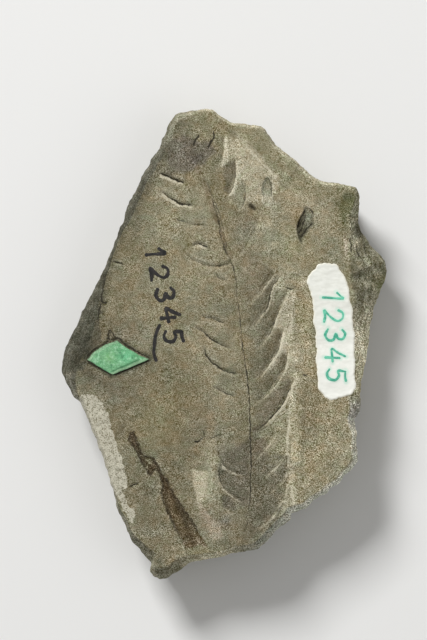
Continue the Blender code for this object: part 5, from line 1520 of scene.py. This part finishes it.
def label_material():
    """White, mixed towards cream at the rim and towards mint near the numerals, with fine brush streaks;
    whiter towards the lower end of the label, a painted light that evens out the lamp's fall-off.
    """
    material, tree, shader = new_material("white_paint")
    inside, bleed, low = parts(tree, read_attribute(tree, "film").outputs["Vector"])
    place = place_of(tree, (0.35, 1.0, 1.0))
    streaks = grain(tree, place, 1800.0, 3.0)
    speck = grain(tree, place_of(tree), 2600.0, 3.0, 0.7)
    colour = mixed(tree, ease(tree, streaks, 0.35, 0.65), (221, 222, 213), (231, 232, 224))
    # painted light: the paint is whitened towards the lower end of the label, where the lamp's light falls
    # off
    colour = mixed(tree, low, colour, (250, 250, 243))
    rim = plus(tree, inside, times(tree, centred(tree, speck), 0.5))
    colour = mixed(tree, ease(tree, rim, 0.35, 0.05, 0.0, 0.5), colour, (218, 213, 194))
    colour = mixed(tree, ease(tree, bleed, 0.62, 0.22, 0.0, 0.55), colour, (188, 226, 208))
    tree.links.new(colour, shader.inputs["Base Color"])
    shader.inputs["Roughness"].default_value = 0.55
    bump(tree, shader, plus(tree, streaks, speck), 0.00001, 0.4)
    return material


def stroke_material(name, dark, light, worn, worn_share, roughness):
    """Two shades of ink by slow noise, with worn specks of another colour by fine noise."""
    material, tree, shader = new_material(name)
    place = place_of(tree)
    slow = grain(tree, place, 1100.0, 2.0)
    fine = grain(tree, place, 3600.0, 3.0, 0.7)
    colour = mixed(tree, ease(tree, slow, 0.35, 0.65), dark, light)
    colour = mixed(tree, ease(tree, fine, 0.56, 0.72, 0.0, worn_share), colour, worn)
    tree.links.new(colour, shader.inputs["Base Color"])
    shader.inputs["Roughness"].default_value = roughness
    bump(tree, shader, fine, 0.00003, 0.6)
    return material


flat_places = label_places.reshape(-1, 3)
bleed = np.minimum(nearest_stroke(flat_places[:, 0], flat_places[:, 1], label_strokes), 2.0)
# painted light: how much whiter the paint is towards the lower end of the label
label_painted_light = 0.4 * smooth((3.0 - flat_places[:, 1]) / 9.0)
put_attribute(label, "film", "FLOAT_VECTOR",
              np.stack((label_inside.ravel(), bleed, label_painted_light), axis=1))
label.data.materials.append(label_material())
green_numerals.data.materials.append(
    stroke_material("green_ink", (62, 160, 132), (104, 198, 166), (170, 222, 202), 0.6, 0.5))
ink_numerals.data.materials.append(
    stroke_material("black_ink", (16, 15, 13), (34, 30, 30), (90, 84, 68), 0.5, 0.75))
print("paint and ink ready")

# %% [markdown]
# ## The paper diamond
# A small diamond of green paper is pasted near the left corner. It is thin, its edges are cut by hand and
# darker, a painted shadow lies on the stone along them, and it follows the stone without touching bottom
# everywhere. It is a grid stretched over four corners, with Solidify giving the paper its thickness.

# %% Paper diamond
DIAMOND = ((-23.4, -2.7), (-18.4, 0.6), (-12.8, -2.6), (-19, -5.3))
PAPER = 0.12


def diamond_grid(across, along):
    """Bilinear blend of the four corners; the upper left edge bulges and the upper right one is hollow, edges
    wander by noise, and the top corner curls up a little."""
    left, top, right, bottom = (np.array(corner) for corner in DIAMOND)
    u = np.linspace(0.0, 1.0, across + 1)[None, :, None]
    v = np.linspace(0.0, 1.0, along + 1)[:, None, None]
    places = (1.0 - u) * (1.0 - v) * left + u * (1.0 - v) * bottom + (1.0 - u) * v * top + u * v * right
    bulge = 0.45 * (1.0 - u) ** 3 * smooth(v / 0.25) * smooth((1.0 - v) / 0.35)
    hollow = 0.2 * v ** 3 * smooth(u / 0.25) * smooth((1.0 - u) / 0.25)
    places = places + bulge * np.array((-0.55, 0.83)) - hollow * np.array((0.5, 0.87))
    edge = 4.0 * np.minimum(np.minimum(u, 1.0 - u), np.minimum(v, 1.0 - v))[..., 0]
    wander = 0.1 * (1.0 - smooth(edge))[..., None]
    noise = np.stack((rough(places[..., 0], places[..., 1], 0.0, 0.9, 61),
                      rough(places[..., 0], places[..., 1], 3.0, 0.9, 62)), axis=2)
    places = places + wander * noise
    curl = 0.12 * np.exp(-np.hypot(places[..., 0] - top[0], places[..., 1] - top[1]) / 0.9)
    ripple = 0.02 * rough(places[..., 0], places[..., 1], 0.0, 1.3, 63)
    z = face_height(places[..., 0], places[..., 1]) + 0.05 + PAPER + curl + ripple
    shares = np.broadcast_arrays(u[..., 0], v[..., 0])
    return np.concatenate((places, z[..., None]), axis=2), shares[0], shares[1]


diamond_places, diamond_u, diamond_v = diamond_grid(72, 48)
diamond_index = np.arange(diamond_u.size).reshape(diamond_u.shape)
diamond = mesh_object("paper_diamond", diamond_places.reshape(-1, 3), (quads(diamond_index.T).copy(),))
sheet = diamond.modifiers.new("sheet", "SOLIDIFY")
sheet.thickness = PAPER * MM
sheet.offset = -1.0
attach(diamond, "root")
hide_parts("diamond_sticker")


def paper_tint(x, y, u, v):
    """Green, streaked across and scuffed, with darker specks; yellower in the middle, mint to the right,
    greyer at the left corner, the upper left rim and the folded lower right edge, which has a dark crease
    beside it. The very edges are darker."""
    tint = np.broadcast_to(np.array((107, 164, 118), dtype=float), np.shape(x) + (3,)).copy()
    tint = over(tint, 0.4 * np.exp(-((x + 19.6) ** 2 + (y + 2.3) ** 2) / 0.8), (142, 190, 120))
    tint = over(tint, 0.5 * np.exp(-((x + 16.7) ** 2 + (y + 2.1) ** 2) / 1.7), (108, 198, 148))
    streak = rough(0.35 * x, 1.6 * y, 0.0, 0.45, 67) + 0.8 * rough(x, y, 0.0, 1.1, 65)
    tint = tint + (10.0 * streak)[..., None] * np.array((1.1, 0.8, 0.9))
    scuffs = rough(1.4 * x, y, 2.0, 0.5, 68) + 0.5 * rough(x, y, 0.0, 0.25, 66)
    tint = over(tint, 0.5 * smooth((scuffs - 0.3) / 0.5), (164, 208, 172))
    tint = over(tint, 0.6 * smooth((-0.5 - scuffs) / 0.35), (62, 118, 82))
    tint = over(tint, 0.7 * smooth((0.3 - u - v) / 0.3), (132, 160, 130))
    tint = over(tint, 0.5 * smooth((0.1 - u) / 0.04), (162, 192, 156))
    tint = over(tint, 0.65 * smooth((u - 0.89) / 0.02), (138, 164, 132))
    crease = np.exp(-((u - 0.86) / 0.03) ** 2) * smooth((v - 0.04) / 0.08) * smooth((0.9 - v) / 0.1)
    tint = over(tint, 0.8 * crease, (54, 102, 64))
    edge = np.minimum(np.minimum(u, 1.0 - u), np.minimum(v, 1.0 - v))
    darker_edge = smooth((0.03 - edge) / 0.03) * (0.45 + 0.4 * rough(x, y, 0.0, 0.6, 64))
    return over(tint, darker_edge, (54, 84, 54))


diamond_tint = paper_tint(diamond_places[..., 0], diamond_places[..., 1], diamond_u, diamond_v)
put_tint(diamond, diamond_tint.reshape(-1, 3))


def paper_material():
    """Tint times a fine speckle of fibres, with cloudy fading."""
    material, tree, shader = new_material("green_paper")
    fibre = grain(tree, place_of(tree), 5600.0, 1.0, 0.7)
    cloud = grain(tree, place_of(tree), 620.0, 3.0)
    level = plus(tree, times(tree, fibre, 1.5), times(tree, cloud, 0.5))
    colour = mixed(tree, 1.0, read_attribute(tree, "tint").outputs["Color"], grey(tree, level), "MULTIPLY")
    tree.links.new(colour, shader.inputs["Base Color"])
    shader.inputs["Roughness"].default_value = 0.8
    bump(tree, shader, fibre, 0.00002, 0.6)
    return material


diamond.data.materials.append(paper_material())
print("paper diamond ready")

# %% [markdown]
# ## The floor
# The slab lies on a plain pale floor, wide enough that no view from above shows its edge.

# %% Floor
def make_floor():
    """One pale square, a metre and a half wide, just under the slab."""
    half = 750.0
    corners = ((-half, -half), (half, -half), (half, half), (-half, half))
    places = np.array([corner + (-0.05,) for corner in corners])
    floor = mesh_object("floor", places, (np.array(((0, 1, 2, 3),)),))
    material, _, shader = new_material("pale_floor")
    shader.inputs["Base Color"].default_value = (0.75, 0.75, 0.74, 1.0)
    shader.inputs["Roughness"].default_value = 0.9
    floor.data.materials.append(material)
    return floor


floor = make_floor()

# %% [markdown]
# ## Light
# A broad soft lamp stands high on the upper left, so that each small cliff of the leaf shows a lit and a
# shaded side, and a pale sky fills the rest.

# %% Light
def make_lamp(name, place, size, power):
    """A square lamp that looks at the slab."""
    data = bpy.data.lights.new(name, "AREA")
    data.size = size
    data.energy = power
    lamp = bpy.data.objects.new(name, data)
    bpy.context.scene.collection.objects.link(lamp)
    lamp.location = place
    lamp.rotation_euler = mathutils.Vector(place).to_track_quat("Z", "Y").to_euler()
    return lamp


make_lamp("key_lamp", (-0.6, 1.0, 0.92), 0.46, 24.4)
make_lamp("fill_lamp", (0.4, -0.1, 0.5), 0.5, 0.5)
world = bpy.data.worlds.new("studio")
world.use_nodes = True
world.node_tree.nodes["Background"].inputs["Color"].default_value = (1.0, 0.99, 0.97, 1.0)
world.node_tree.nodes["Background"].inputs["Strength"].default_value = 0.33
bpy.context.scene.world = world
bpy.context.scene.view_settings.view_transform = "Standard"
print("lamps and sky ready")

# %% [markdown]
# ## Camera
# The camera looks straight down through a long lens, as on a copy stand.

# %% Camera
VIEW_CENTRE = (-1.8, 4.1)      # middle of the view on the slab, in millimetres
VIEW_HEIGHT = 109.48           # how much of the slab's plane the view takes in from top to bottom
VIEW_PLANE = 11.5              # height of that plane
LENS = 400.0
SENSOR = 36.0
distance = LENS / SENSOR * VIEW_HEIGHT
camera_data = bpy.data.cameras.new("camera")
camera_data.lens = LENS
camera_data.sensor_width = SENSOR
camera_data.clip_start = 0.01
camera_data.clip_end = 10.0
camera = bpy.data.objects.new("camera", camera_data)
bpy.context.scene.collection.objects.link(camera)
camera.location = ((VIEW_CENTRE[0] - MIDDLE[0]) * MM, (VIEW_CENTRE[1] - MIDDLE[1]) * MM,
                   (VIEW_PLANE + distance) * MM)
camera.rotation_euler = (0.0, 0.0, 0.0)
bpy.context.scene.camera = camera
print("camera", round(distance), "mm above the face")
